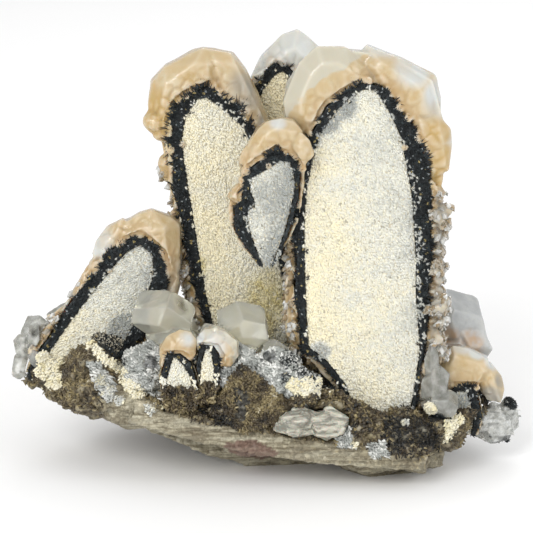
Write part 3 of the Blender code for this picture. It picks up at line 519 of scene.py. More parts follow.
def clearMaterial(name, look):
    # glassy calcite or quartz, a little cloudy
    material, tree, shader = newMaterial(name)
    place = placeNode(tree)
    colour, cloud = mottleNode(tree, place, look["size"], 0.42, 0.66, look["clear"], look["cloudy"])
    if "peach" in look:
        colour = marksNode(tree, colour, ("peach", look["peach"]))
    # Ridges get a painted highlight and hollows a painted shade; the dark mark is the crystal's own dark spots.
    colour = marksNode(tree, colour, ("ridgeHighlight", look["edge"], 0.7), ("hollowShade", look["dark"], 0.7),
                       ("dark", look["dark"]))
    _, fine = mottleNode(tree, place, 1.0, 0.35, 0.7)
    surface(tree, shader, colour, fine, *look["roughness"])
    glow(tree, shader, look["subsurface"], 2.0, (1.0, 0.95, 0.85))
    setInputs(tree, shader, {"Transmission Weight": look["transmission"], "IOR": look["ior"]})
    bumpNode(tree, shader, cloud, 0.35, look["bump"])
    return material


# In each look, edge is the painted highlight on ridges; dark is the colour of dark spots and also the painted shade
# in hollows.
paleLook = {"clear": (0.97, 0.96, 0.82), "cloudy": (0.98, 0.975, 0.88), "size": 4.0, "roughness": (0.02, 0.10),
            "transmission": 0.75, "ior": 1.45, "subsurface": 0.3, "bump": 0.08, "dark": (0.16, 0.14, 0.09),
            "edge": (0.95, 0.95, 0.90)}
frostLook = {"clear": (0.55, 0.57, 0.57), "cloudy": (0.70, 0.71, 0.70), "size": 6.0, "roughness": (0.08, 0.24),
             "transmission": 0.4, "ior": 1.50, "subsurface": 0.6, "bump": 0.2, "dark": (0.03, 0.032, 0.03),
             "peach": (0.62, 0.42, 0.25), "edge": (0.85, 0.87, 0.87)}
greyLook = {"clear": (0.52, 0.53, 0.47), "cloudy": (0.92, 0.92, 0.88), "size": 2.2, "roughness": (0.03, 0.18),
            "transmission": 0.72, "ior": 1.50, "subsurface": 0.25, "bump": 0.2, "dark": (0.06, 0.055, 0.045),
            "edge": (0.95, 0.95, 0.93)}
quartzLook = {"clear": (0.35, 0.355, 0.33), "cloudy": (0.73, 0.73, 0.69), "size": 2.4, "roughness": (0.15, 0.45),
              "transmission": 0.25, "ior": 1.54, "subsurface": 0.3, "bump": 0.3, "dark": (0.03, 0.034, 0.034),
              "edge": (0.88, 0.90, 0.90)}

blockLook = {"grey": (0.20, 0.195, 0.16), "cream": (0.56, 0.54, 0.45)}


def blockMaterial(look):
    material, tree, shader = newMaterial("fibrousCleavage")
    along = placeNode(tree, (0, -8, 35), (0.16, 1, 1))
    colour, mask = mottleNode(tree, along, 1.3, 0.42, 0.60, look["grey"], look["cream"])
    surface(tree, shader, colour, mask, 0.30, 0.6)
    glow(tree, shader, 0.2, 1.5)
    bumpNode(tree, shader, mask, 0.6, 0.4)
    return material


# dark is the rock's dark mottle and black areas, and also the painted shade in hollows; fibreCream also gives ridges
# a painted highlight.
rockLook = {"brown": (0.11, 0.082, 0.045), "olive": (0.22, 0.18, 0.095), "dark": (0.018, 0.016, 0.012),
            "gold": (0.40, 0.31, 0.14), "cream": (0.74, 0.67, 0.50), "fibreGrey": (0.44, 0.40, 0.285),
            "fibreDark": (0.19, 0.16, 0.10), "fibreCream": (0.55, 0.515, 0.39), "red": (0.165, 0.10, 0.072),
            "quartzWhite": (0.76, 0.75, 0.70), "quartzGrey": (0.33, 0.345, 0.34)}


def rockMaterial(look):
    # rough brown rock; marks on the mesh say where it is fibrous, cream, quartz, reddish or black, and where ridges
    # get a painted highlight and hollows a painted shade
    material, tree, shader = newMaterial("matrixRock")
    place = placeNode(tree)
    colour, _ = mottleNode(tree, place, 5.0, 0.40, 0.62, look["brown"], look["olive"])
    shade, fine = mottleNode(tree, place, 1.3, 0.46, 0.60, colour, look["dark"])
    colour = mixNode(tree, 0.8, colour, shade)
    golden = mathNode(tree, "MULTIPLY", speckNode(tree, place, 0.7, 0.07), 0.7)
    colour = mixNode(tree, golden, colour, look["gold"])
    along = placeNode(tree, (8, 9, 0), (0.07, 1, 1))
    streak, _ = mottleNode(tree, along, 0.6, 0.40, 0.58, look["fibreGrey"], look["fibreDark"])
    pale, _ = mottleNode(tree, along, 2.2, 0.48, 0.62, streak, look["fibreCream"])
    streak = mixNode(tree, 0.7, streak, pale)
    dull, _ = mottleNode(tree, place, 6.0, 0.50, 0.66, streak, look["brown"])
    streak = mixNode(tree, 0.55, streak, dull)
    cream, _ = mottleNode(tree, place, 1.6, 0.55, 0.75, look["cream"], look["olive"])
    slanting = placeNode(tree, (0, 35, 0), (0.3, 1, 1))
    quartzy, _ = mottleNode(tree, slanting, 1.5, 0.42, 0.60, look["quartzGrey"], look["quartzWhite"])
    colour = marksNode(tree, colour, ("fibre", streak), ("cream", cream), ("quartz", quartzy), ("red", look["red"]),
                       ("black", look["dark"]), ("ridgeHighlight", look["fibreCream"], 0.35), ("hollowShade", look["dark"], 0.8))
    surface(tree, shader, colour, fine, 0.42, 0.75)
    bumpNode(tree, shader, fine, 0.7, 0.5)
    return material


# Four colours of each kind of small crystal, for a tone of 0, 0.35, 0.7 and 1.
gritLook = {"rock": [(0.010, 0.010, 0.009), (0.085, 0.062, 0.033), (0.33, 0.265, 0.13), (0.70, 0.66, 0.54)],
            "quartz": [(0.010, 0.010, 0.009), (0.385, 0.40, 0.375), (0.385, 0.40, 0.375), (0.80, 0.80, 0.76)],
            "edge": [(0.10, 0.085, 0.055), (0.42, 0.31, 0.17), (0.42, 0.41, 0.37), (0.82, 0.82, 0.79)]}


def gritMaterial(name, colours, roughness, clearness=0.0):
    material, tree, shader = newMaterial(name)
    tone = markNode(tree, "tone")
    colour = colours[0]
    for low, high, over in zip((0.0, 0.35, 0.7), (0.35, 0.7, 1.0), colours[1:]):
        colour = mixNode(tree, rangeNode(tree, tone, low, high), colour, over)
    mottled, mask = mottleNode(tree, placeNode(tree), 0.7, 0.45, 0.65, colour, colours[0])
    surface(tree, shader, mixNode(tree, 0.3, colour, mottled), mask, roughness, roughness + 0.3)
    shader.inputs["Transmission Weight"].default_value = clearness
    return material


sugar = sugarMaterial(sugarLook)
ground = groundMaterial(groundLook)
crust = crustMaterial(crustLook)
peach = peachMaterial(peachLook)
pale = clearMaterial("paleCalcite", paleLook)
frosted = clearMaterial("frostedCalcite", frostLook)
greyClear = clearMaterial("greyCalcite", greyLook)
quartz = clearMaterial("quartzDruse", quartzLook)
cleavage = blockMaterial(blockLook)
rock = rockMaterial(rockLook)
rockGrit = gritMaterial("rockGrit", gritLook["rock"], 0.35)
quartzGrit = gritMaterial("quartzGrit", gritLook["quartz"], 0.25)
edgeCrystal = gritMaterial("edgeCrystals", gritLook["edge"], 0.06, 0.3)
print("materials made")

gridStep = 0.5  # mm between the points that are measured on each front


def faceGrid(blade):
    # points on a blade's front, on a jittered grid in its own plane: 1 on the white plate, 2 on the crust
    turn = bladeTurn(blade)
    meshes = [nodes[blade + part].data for part in ("_white_face", "_dark_crust")]
    local = np.vstack([pointsOf(mesh) for mesh in meshes]) @ bladeAxes[blade]
    low, high = local.min(0), local.max(0)
    into = turn @ Vector((0, 1, 0))
    trees = [treeOf(mesh) for mesh in meshes]
    us, vs = (np.arange(low[k] - mm, high[k] + mm, gridStep * mm) for k in (0, 2))
    kind = np.zeros((len(us), len(vs)), int)
    place = np.zeros((len(us), len(vs), 3))
    jitter = rng.uniform(-0.4, 0.4, (len(us), len(vs), 2)) * gridStep * mm
    for i, u in enumerate(us):
        for j, v in enumerate(vs):
            across = u + jitter[i, j, 0] + 0.5 * (j % 2) * gridStep * mm
            start = turn @ Vector((across, low[1] - 3 * mm, v + jitter[i, j, 1]))
            nearest = 8 * mm
            for k, tree in enumerate(trees):
                spot, normal, _, away = tree.ray_cast(start, into, nearest)
                if spot is not None and normal.dot(into) < -0.5:
                    kind[i, j], place[i, j], nearest = k + 1, spot, away
    return kind, place


def finderOf(spots):
    finder = KDTree(len(spots))
    for i, spot in enumerate(spots.tolist()):
        finder.insert(spot, i)
    finder.balance()
    return finder


def distances(finder, co):
    return np.array([finder.find(spot)[2] for spot in co.tolist()]) / mm


grids = {blade: faceGrid(blade) for blade in bladeLean}
print("blade fronts measured")


def blurred(grid, times):
    out = grid.astype(float)
    for _ in range(times):
        out = (out + np.roll(out, 1, 0) + np.roll(out, -1, 0) + np.roll(out, 1, 1) + np.roll(out, -1, 1)) / 5
    return out


def crustSlope(kind):
    # how the crust thins out along the grid's two ways
    return np.gradient(blurred(kind == 2, 3))


def addKnob(bm, spot, facing, radius, height):
    # a rounded knob, flattened along the way it faces
    turn = Vector(facing).to_track_quat("Z", "Y").to_matrix().to_4x4()
    size = Matrix.Diagonal((radius * mm, radius * mm, height * mm, 1))
    bmesh.ops.create_icosphere(bm, subdivisions=2, radius=1.0, matrix=Matrix.Translation(Vector(spot)) @ turn @ size)


# Where the peach calcite closes over the crust's outer edge. share: of the edge's points that carry a scallop,
# clump: size of the tufts between them in mm, tuft: from which density on they keep it off, above: only over that
# share of the height, fromPlate: mm, past: steps outwards to the first point that has to be off the front.
scallops = {"share": 0.16, "radius": (0.7, 1.5), "clump": 2.6, "tuft": 0.22, "above": 0.62, "fromPlate": 1.5,
            "past": 2.4}
flatEdge = 0.08  # below this slope a point isn't near the crust's edge


def edgeKnobs(bm, blade):
    # scallops of peach calcite over the crust's outer edge, between the tufts
    kind, place = grids[blade]
    axes = bladeAxes[blade]
    du, dv = crustSlope(kind)
    last = np.array(kind.shape) - 1
    spots = place[kind == 2]
    lowest = np.quantile(spots[:, 2], scallops["above"])
    clump = softNoise(spots, scallops["clump"], 2, 21.0)
    for (i, j), spot, tuft in zip(np.argwhere(kind == 2).tolist(), spots, clump):
        slope = math.hypot(du[i, j], dv[i, j])
        if slope < flatEdge:
            continue
        a, b = -du[i, j] / slope, -dv[i, j] / slope
        past = i + round(scallops["past"] * a), j + round(scallops["past"] * b)
        beyond = kind[tuple(np.clip(past, 0, last))]
        if beyond != 0 or rng.random() > scallops["share"] or tuft > scallops["tuft"] or spot[2] < lowest:
            continue
        if finders[blade][0].find(spot)[2] < scallops["fromPlate"] * mm:
            continue
        radius = rng.uniform(*scallops["radius"]) * (1 - 0.5 * max(tuft, 0))
        out = axes[:, 0] * a + axes[:, 2] * b
        facing = rng.normal(0, 0.15, 3) - axes[:, 1]
        addKnob(bm, spot + out * (0.35 + 0.5 * radius) * mm, facing, radius, radius * 0.45)


edgeReach = 6  # mm from a random place to the surface, past which nothing grows there


def anyPlace(box):
    return Vector([rng.uniform(*ends) for ends in box]) * mm


def sideKnobs(bm, blade, row):
    # glassy shingled lobes over one edge
    *box, lobes, radii, _ = row
    tree = treeOf(nodes[blade + "_calcite"].data)
    for _ in range(lobes):
        spot, normal, _, away = tree.find_nearest(anyPlace(box))
        radius = rng.uniform(*radii)
        if away < edgeReach * mm and normal.y < 0.5 and finders[blade][1].find(spot)[2] > (radius + 0.5) * mm:
            facing = normal + Vector(rng.normal(0, 0.3, 3))
            addKnob(bm, spot - normal * 0.35 * radius * mm, facing, radius, radius * 0.8)


# Rows along a blade's edges: the side, depth and height that they lie in, in mm, then how many lobes, their
# radius, and how many small crystals over them.
sideBeads = {
    "large_blade": [((38, 50), (-24, -8), (18, 76), 150, (1.5, 2.6), 520),
                    ((2, 9), (-24, -10), (26, 84), 60, (0.6, 1.2), 200)],
    "tall_blade": [((-40, -20), (-4, 6), (26, 78), 100, (1.0, 2.2), 260),
                   ((-25, -20), (-4, 4), (42, 54), 60, (1.8, 2.7), 40),
                   ((-34, -29), (0, 6), (78, 90), 26, (2.8, 4.0), 0)],
    "leaning_blade": [((-64, -40), (-16, -4), (24, 54), 40, (0.8, 1.5), 120)],
}


def edgeCrystals(blade, rows):
    # small angular crystals, glassy or peach, over the lobes along a blade's sides
    tree = treeOf(skins[blade])
    spots, outward = [], []
    for *box, _, _, crystals in rows:
        for _ in range(crystals):
            spot, normal, _, away = tree.find_nearest(anyPlace(box))
            if away < edgeReach * mm and normal.y < 0.6 and finders[blade][1].find(spot)[2] > 1.6 * mm:
                spots.append(spot[:])
                outward.append(normal[:])
    n = len(spots)
    spots, outward = np.array(spots), np.array(outward)
    size = rng.uniform(0.7, 1.9, n)
    sizes = np.stack([size, size * rng.uniform(0.5, 0.8, n), size * rng.uniform(0.35, 0.6, n)], 1) * mm
    ways = outward * 0.5 + np.array((0, 0, -0.8)) + rng.normal(0, 0.35, (n, 3))
    turns = turnAlong(ways, (0.0, -1.0, 0.1), rng.uniform(-1.2, 1.2, n))
    addCopies(blade + "_edge_crystals", spots + outward * 0.10 * mm, turns, sizes,
              {"tone": rng.uniform(0.1, 1.0, n)}, edgeCrystal)


# Peach calcite behind and around each blade. skin: size of the small faces in mm. dome: how far from the
# crust the peach turns beige, and up to which side. frost: whitish spots, grey: dull glassy spots and amber:
# deep orange ones, as (x, y, z, radius). greyEdge: from which side on the edge is dull.
calciteParts = {
    "large_blade": {"skin": 0.45, "dome": (7.5, 12), "greyEdge": (38, 41),
                    "frost": [(38, -10, 108, 7), (46, -10, 100, 8), (30, -4, 112, 8), (48, -12, 88, 6)],
                    "amber": [(45, -14, 92, 5), (45, -14, 86, 5), (46, -14, 80, 6)]},
    "tall_blade": {"skin": 0.45, "frost": [(-12, -4, 110, 3)],
                   "grey": [(-4, 0, 100, 9), (0, 0, 92, 6), (-30, 2, 58, 6), (-28, 2, 46, 6)],
                   "amber": [(-30, 3, 93, 10), (-31, 3, 83, 9), (-31, 3, 72, 8)]},
    "middle_blade": {"skin": 0.36, "frost": [(3, -18, 95, 3)]},
    "back_blade": {"skin": 0.45, "dome": (2.5, 99), "frost": [(8, 16, 112, 12), (2, 30, 100, 24)]},
    "leaning_blade": {"skin": 0.42, "frost": [(-45, -4, 60, 6)],
                      "grey": [(-26, -6, 50, 7), (-24, -6, 42, 6), (-52, -4, 44, 5)]},
    "front_left_blade": {"skin": 0.30, "scallops": False, "frost": [(-21, -29, 40, 3)]},
    "front_right_blade": {"skin": 0.30, "scallops": False, "dome": (3.5, 99),
                          "frost": [(-13, -29, 39, 4.5), (-18, -29, 41, 3)]},
    "right_blade": {"skin": 0.36, "frost": [(52, -13, 34, 4), (56, -13, 32.5, 4), (60, -12.5, 29.5, 4)],
                    "grey": [(60, -15.5, 20, 4.5), (62, -14, 24, 3)]},
}
noDome = (99, 0)

skins, finders = {}, {}
for blade, part in calciteParts.items():
    kind, place = grids[blade]
    finders[blade] = finderOf(place[kind == 1]), finderOf(place[kind == 2])
    bm = mergedCopy(blade + "_calcite")
    if part.get("scallops", True):
        edgeKnobs(bm, blade)
    for row in sideBeads.get(blade, []):
        sideKnobs(bm, blade, row)
    mesh = skinOver(blade + "_calcite", bm, part["skin"])
    co = pointsOf(mesh)
    away = distances(finders[blade][1], co)
    cell, edge = cellNoise(co, 3.4, 4.0)
    wave = softNoise(co, 7.0, 2, 1.0)
    nearBand = smoothStep(0.4, 1.4, away) * (1 - smoothStep(4.0, 7.5, away))
    co = raised(mesh, nearBand * (np.minimum(edge, 0.45) - 0.25) * 0.7 + 0.12 * wave)
    domeFrom, domeSide = part.get("dome", noDome)
    dome = smoothStep(domeFrom - 0.35, domeFrom + 0.35, away + 2.2 * (cell - 0.4) + 1.3 * wave)
    dome = dome * (1 - smoothStep(domeSide + 14, domeSide + 18, co[:, 0] / mm))
    grey = nearSpots(co, part.get("grey", ())) * (0.75 + 0.7 * wave)
    if "greyEdge" in part:
        dull = smoothStep(0.8, 2.2, away) * smoothStep(*part["greyEdge"], co[:, 0] / mm)
        dull = dull * (1 - smoothStep(74, 80, co[:, 2] / mm)) * (0.85 + 0.7 * softNoise(co, 2.5, 2, 3.0))
        grey = np.maximum(grey, dull)
    setEdges(mesh, 8, 0.30)
    setMark(mesh, "bandDistance", away)
    setMark(mesh, "dome", dome)
    setMark(mesh, "frost", np.clip(nearSpots(co, part["frost"]) * (0.85 + 0.5 * wave), 0, 1))
    setMark(mesh, "grey", np.clip(grey, 0, 0.95))
    setMark(mesh, "amber", np.clip(nearSpots(co, part.get("amber", ())) * (0.85 + 0.5 * wave), 0, 0.9))
    skins[blade] = mesh
    addSkin(blade + "_calcite", mesh, peach)
    if blade in sideBeads:
        edgeCrystals(blade, sideBeads[blade])
    print(blade, "calcite,", len(mesh.polygons), "faces")

# Sugary white faces. warm: cream at 1, grey-white at 0, as (level, change to the right, change upwards).
# lie: how the grains lie in the face, in degrees. tufts: how much longer the crust's needles are. gaps: where
# white breaks into the crust. bandFrom: white below this height, and foot: rock below that one, in mm.
# Spots: (x, y, z, radius).
sugarParts = {
    "large_blade": {"warm": (0.66, -0.34, -0.16), "lie": -50,
                    "cool": [(19, -13, 99, 6), (15, -14, 95, 6), (12, -15, 90, 4), (14, -20, 34, 4)],
                    "gaps": [(16.6, -24, 26.4, 6), (13.5, -23, 31, 4), (39, -14, 60, 14), (40, -16, 42, 12),
                             (38, -13, 75, 9)]},
    # On the tall blade the olive spots, low on the right, are a yellow tint and partly a painted shade where the
    # middle blade hangs over the face.
    "tall_blade": {"warm": (0.82, -0.30, -0.22), "lie": -50, "tufts": 1.8, "cool": [(-31, -3, 96, 3)],
                   "olive": [(1, 0, 44, 9), (-2, -1, 36, 7), (-19, 2, 52, 4)], "gaps": [(-6, 3, 96, 8)]},
    "middle_blade": {"warm": (0.18, -0.45, 0.12), "lie": -50, "cool": [(5, -20, 62, 5), (4, -21, 58, 5)]},
    "back_blade": {"warm": (0.70, 0.4, 0.4), "lie": -60, "gaps": [(-4, 14, 84, 6)]},
    "leaning_blade": {"warm": (0.55, -0.60, 0.0), "lie": 30, "cool": [(-38, -8, 36, 6)],
                      "black": [(-44.5, -7.6, 33.6, 3.0), (-41.5, -7.7, 32.4, 3.4), (-39, -7.9, 31, 4.2)]},
    "front_left_blade": {"warm": (0.60, 0.0, 0.0), "lie": 90, "bandFrom": 30.5, "foot": 27.5},
    "front_right_blade": {"warm": (0.70, 0.0, 0.0), "lie": 90, "bandFrom": 31.5, "foot": 28.5},
    "right_blade": {"warm": (0.60, 0.0, 0.0), "lie": 90, "cool": [(52, -16, 19, 3)]},
}
grainSize = {"long": (0.62, 1.0), "wide": (0.34, 0.50), "gapShare": 0.006}
flakeSize = {"long": (0.7, 1.6), "wide": (0.22, 0.50), "thick": (0.10, 0.24)}
fringe = {"out": (0.6, 1.6), "clumps": 2.6, "perPoint": 3, "spread": 0.65, "longest": 5.5}


def scatterGrains(name, spots, front, lie, marks):
    # many small leaning blocks that lie roughly one way
    n = len(spots)
    across = np.cross((0, 0, 1.0), front)
    across /= np.linalg.norm(across)
    angle = np.radians(lie + rng.normal(0, 32, n))
    ways = np.outer(np.cos(angle), across) + np.outer(np.sin(angle), np.cross(front, across))
    turns = turnAlong(ways + np.outer(rng.normal(0, 0.42, n), front), front, rng.uniform(-0.7, 0.7, n))
    wide = rng.uniform(*grainSize["wide"], n)
    sizes = np.stack([rng.uniform(*grainSize["long"], n), wide, wide * rng.uniform(0.8, 1.2, n)], 1) * mm
    addCopies(name, spots, turns, sizes, marks, sugar)


def scatterFlakes(name, spots, ways, long, front):
    # pointed plates, with their long axis last because the flake shape is long on Z
    n = len(spots)
    sizes = np.stack([long, rng.uniform(*flakeSize["wide"], n), rng.uniform(*flakeSize["thick"], n)], 1) * mm
    turns = turnAlong(np.array(ways), front, rng.uniform(-1.2, 1.2, n))
    last = [1, 2, 0]
    addCopies(name, np.array(spots), turns[:, :, last], sizes[:, last], {}, crust, flakeShape)


for blade, part in sugarParts.items():
    kind, place = grids[blade]
    axes = bladeAxes[blade]
    front = -axes[:, 1]
    index = np.argwhere(kind > 0)
    spots = place[kind > 0]
    onPlate = kind[kind > 0] == 1
    toPlate, toBand = (distances(finder, spots) for finder in finders[blade])
    rag = softNoise(spots, 2.2, 3, 11.0)
    fine = softNoise(spots, 1.1, 2, 5.0)
    gaps = nearSpots(spots, part.get("gaps", ()))
    white = onPlate & (toBand > 2.4 * np.maximum(0.0, rag - 0.10))
    white |= ~onPlate & (toPlate < 0.55 + 1.5 * rag + gaps * (0.6 + 2.8 * fine))
    white |= spots[:, 2] < part.get("bandFrom", -9) * mm + 1.2 * rag * mm
    white &= nearSpots(spots, part.get("black", ())) <= 0.35 + 0.25 * fine
    grains = white & (rng.random(len(spots)) > grainSize["gapShare"] + 0.05 * (fine > 0.45))
    low, high = spots.min(0), spots.max(0)
    share = (spots[grains] - low) / (high - low) * 2 - 1
    level, across, upwards = part["warm"]
    at = spots[grains]
    n = len(at)
    warm = level + across * share[:, 0] + upwards * share[:, 2] + 0.22 * softNoise(at, 9.0, 2, 7.0)
    warm += rng.normal(0, 0.09, n) - 0.9 * nearSpots(at, part.get("cool", ()))
    if "bandFrom" not in part:
        warm -= 0.3 * ~onPlate[grains]
    olive = nearSpots(at, part.get("olive", ())) * (0.8 + 0.5 * rag[grains])
    stain = np.where(rng.random(n) < 0.020, rng.uniform(0.2, 0.6, n), 0.0)
    stain = np.maximum(stain, 0.9 * smoothStep(0.0, 1.5, part.get("foot", -9) - at[:, 2] / mm + 2.0 * rag[grains]))
    at = at + np.outer((0.02 + 0.30 * fine[grains]) * mm, front)
    scatterGrains(blade + "_sugar_grains", at, front, part["lie"],
                  {"warm": np.clip(warm, 0, 1), "stain": stain, "olive": np.clip(olive, 0, 1)})
    # The plate shows through the gaps in a darker colour, a painted shade between the grains.
    dress(nodes[blade + "_white_face"].data, ground)

    du, dv = crustSlope(kind)
    flakes, ways, long = [], [], []
    skin = treeOf(skins[blade])
    clump = softNoise(spots, scallops["clump"], 2, 21.0)
    for at in np.argwhere(~white)[:, 0].tolist():
        i, j = index[at]
        spot = spots[at]
        slope = math.hypot(du[i, j], dv[i, j])
        for _ in range(2 if rng.random() < 0.55 else 1):  # plates all over the crust
            flakes.append(spot + front * rng.uniform(0.0, 0.55) * mm + axes[:, 0] * rng.uniform(-0.3, 0.3) * mm)
            ways.append(axes @ rng.normal(0, 1, 3))
            long.append(rng.uniform(*flakeSize["long"]))
        if onPlate[at] or slope < flatEdge or toPlate[at] < 0.8 or clump[at] < rng.uniform(-0.5, 0.2):
            continue
        for _ in range(fringe["perPoint"]):  # needles that reach out over the peach calcite
            turnBy = math.atan2(-dv[i, j], -du[i, j]) + rng.normal(0, fringe["spread"])
            way = axes[:, 0] * math.cos(turnBy) + axes[:, 2] * math.sin(turnBy)
            reach = (rng.uniform(*fringe["out"]) + max(0.0, clump[at]) * fringe["clumps"]) * part.get("tufts", 1.0)
            tip = spot + way * reach * mm
            onto = skin.ray_cast(Vector(tip + front * 9 * mm), Vector(-front), 14 * mm)[0]
            if onto is None:
                continue
            tip = np.array(onto) + front * 0.10 * mm
            base = spot - way * 0.3 * mm + front * 0.15 * mm
            if np.linalg.norm(tip - base) < fringe["longest"] * mm:
                flakes.append((tip + base) / 2)
                ways.append(tip - base)
                long.append(np.linalg.norm(tip - base) / mm)
    scatterFlakes(blade + "_crust_plates", flakes, ways, long, front)
    dress(nodes[blade + "_dark_crust"].data, crust)
    print(blade, "front,", n, "grains and", len(flakes), "plates")

# Clear, pale and frosted crystals. marks: dark and peach spots (x, y, z, radius).
clearParts = {
    "pale_crystals_left": {"skin": 0.30, "look": pale, "marks": {"dark": [(-24, -14, 44, 4)]}},
    "pale_crystals_centre": {"skin": 0.30, "look": pale},
    "clear_crystals_right": {"skin": 0.28, "look": greyClear, "marks": {"dark": [(47, -22, 19, 3)]}},
    "back_crystals_left": {"skin": 0.40, "smooth": 1, "look": pale},
    "back_crystals_right": {"skin": 0.40, "smooth": 1, "look": pale},
    "frosted_crystal_right": {"skin": 0.36, "smooth": 6, "look": frosted, "slot": "frosted_calcite",
                              "marks": {"peach": [(54, -5, 31, 6), (48, -7, 34, 5)]}},
    "left_end_crystals": {"skin": 0.30, "look": greyClear, "slot": "frosted_calcite",
                          "marks": {"dark": [(-60, -6, 30, 3.5), (-56, -5, 36, 3), (-64, -8, 31, 2.0),
                                             (-62, -7, 36, 2.5), (-58, -6, 33, 3)]}},
}
outer = {}
for node, part in clearParts.items():
    mesh = skinOver(node, mergedCopy(node), part["skin"], part.get("smooth", 2))
    co = pointsOf(mesh)
    steps = softNoise(co * np.array((0.6, 1, 1)), 3.5, 2, 6.0)
    raised(mesh, 0.10 * steps + 0.02 * softNoise(co, 2.0, 3, 2.0))
    for label, spots in ({"dark": ()} | part.get("marks", {})).items():
        setMark(mesh, label, np.clip(nearSpots(co, spots) * (0.8 + 0.6 * softNoise(co, 1.8, 2, 9.0)), 0, 1))
    setEdges(mesh, 14, 0.40)
    outer[node] = mesh
    addSkin(node, mesh, part["look"])
    print(node, len(mesh.polygons), "faces")


def lyingBlocks(n, lie, spread, long):
    # turns and sizes of small crystals that lie roughly one way across the front
    angle = np.radians(rng.normal(lie, spread, n))
    ways = np.stack([np.cos(angle), rng.normal(0, 0.3, n), np.sin(angle)], 1)
    sizes = anySizes(n, long, (0.3, 0.6), (0.3, 0.5))
    return turnAlong(ways, (0.0, -1.0, 0.1), rng.uniform(-1, 1, n)), sizes


# Granular quartz. lump: size of its lumps in mm, high: how far they stand out, grains: share of the skin's
# points that carry a small crystal, dark: spots.
quartzParts = {
    "quartz_druse": {"skin": 0.42, "lump": 2.4, "high": 0.9, "grains": 0.42,
                     "dark": [(0.4, -27, 35, 3), (-30, -26, 33, 3)]},
    "quartz_end_chunk": {"skin": 0.4, "lump": 4.5, "high": 0.8, "grains": 0.006,
                         "dark": [(67, -6, 17, 4.0), (64, -12, 5.5, 4.0), (57, -10, 17, 3.0)]},
}
for node, part in quartzParts.items():
    mesh = outer[node] = skinOver(node, mergedCopy(node), part["skin"], 1)
    squeezed = pointsOf(mesh) * np.array((0.55, 1.0, 1.3))
    _, edge = cellNoise(squeezed, part["lump"], 1.0)
    height = part["high"] * (np.minimum(edge, 0.5) - 0.25) + 0.35 * softNoise(squeezed, 1.6, 3, 5.0)
    co = raised(mesh, height)
    dark = np.clip(nearSpots(co, part["dark"]) * (0.8 + 0.5 * softNoise(co, 1.5, 2, 9.0)), 0, 1)
    setMark(mesh, "dark", dark)
    setEdges(mesh, 6, 0.30)
    addSkin(node, mesh, quartz)
    chosen = np.argwhere((rng.random(len(co)) < part["grains"]) & (dark < 0.5))[:, 0]
    n = len(chosen)
    tone = np.clip(0.72 + 0.55 * softNoise(co[chosen], 3.0, 3, 12.0) + rng.normal(0, 0.16, n), 0.05, 1)
    turns, sizes = lyingBlocks(n, -25, 35, (0.7, 1.5))
    spots = co[chosen] + normalsOf(mesh)[chosen] * 0.08 * mm
    addCopies(node + "_grains", spots, turns, sizes, {"tone": tone}, quartzGrit)
    print(node, len(mesh.polygons), "faces,", n, "grains")

# Patches on the rock and quartz, as spots (x, y, z, radius) in mm.
patches = {
    "cream": [(-59.3, -12.1, 26.5, 3.0), (-56.6, -13.1, 24.1, 3.2), (-45.8, -21.6, 35.6, 1.7),
              (-44.2, -22.8, 34.2, 1.7), (-42.6, -23.8, 33, 1.7),
              (-40.8, -22.4, 31.2, 1.7), (-39.2, -21, 29.4, 1.8), (-37.5, -23, 27.8, 1.9), (-35.8, -24.7, 26.4, 2.2),
              (-33.7, -25.4, 24.7, 2.4), (6.9, -30.6, 28.3, 1.8), (8.7, -31.1, 27.1, 2.0), (11.3, -30.6, 27.5, 1.8),
              (13.5, -27.2, 27.5, 1.8), (15.9, -25.3, 24.6, 1.6), (43.1, -24, 19.6, 1.8), (47.9, -25, 14.6, 2.6),
              (50.2, -21.7, 15.7, 2.2), (47, -26.1, 12.8, 1.8), (23.1, -32.1, 13.2, 1.6), (-26, -31, 23.5, 2.2)],
    "white": [(-23, -31.5, 24.5, 2.6), (-19.5, -31.5, 24, 2.4), (-43.6, -25.1, 27.9, 2.2),
              (-41.6, -25.5, 25.3, 2.0), (-30.3, -32.4, 22.1, 1.6), (-38.4, -26.7, 22.9, 1.4),
              (36.3, -28.5, 17.4, 1.2), (-16, -31, 24, 2.0)],
    "black": [(5.6, -22.9, 34.9, 2.2), (5.1, -27.8, 33.7, 2.2), (7.7, -25.9, 31.5, 1.9), (10.3, -28.1, 30.5, 1.6),
              (12.9, -27.2, 28.6, 1.5), (5.1, -30, 30.1, 1.5), (-38.5, -21, 31.5, 2.0), (45.5, -23, 17.2, 1.8),
              (66.4, -8, 16, 2.2), (65.5, -11, 5.0, 1.8)],
    "brown": [(3.5, -31.1, 24.4, 1.8), (8, -31.6, 24.2, 2.0), (12, -30.4, 24.2, 2.0), (16, -26, 23.6, 2.0),
              (19.5, -25.6, 22.8, 2.2), (22.4, -28.2, 21.2, 2.2), (24, -30, 19.4, 2.2), (25.6, -32.2, 17.4, 2.2)],
}
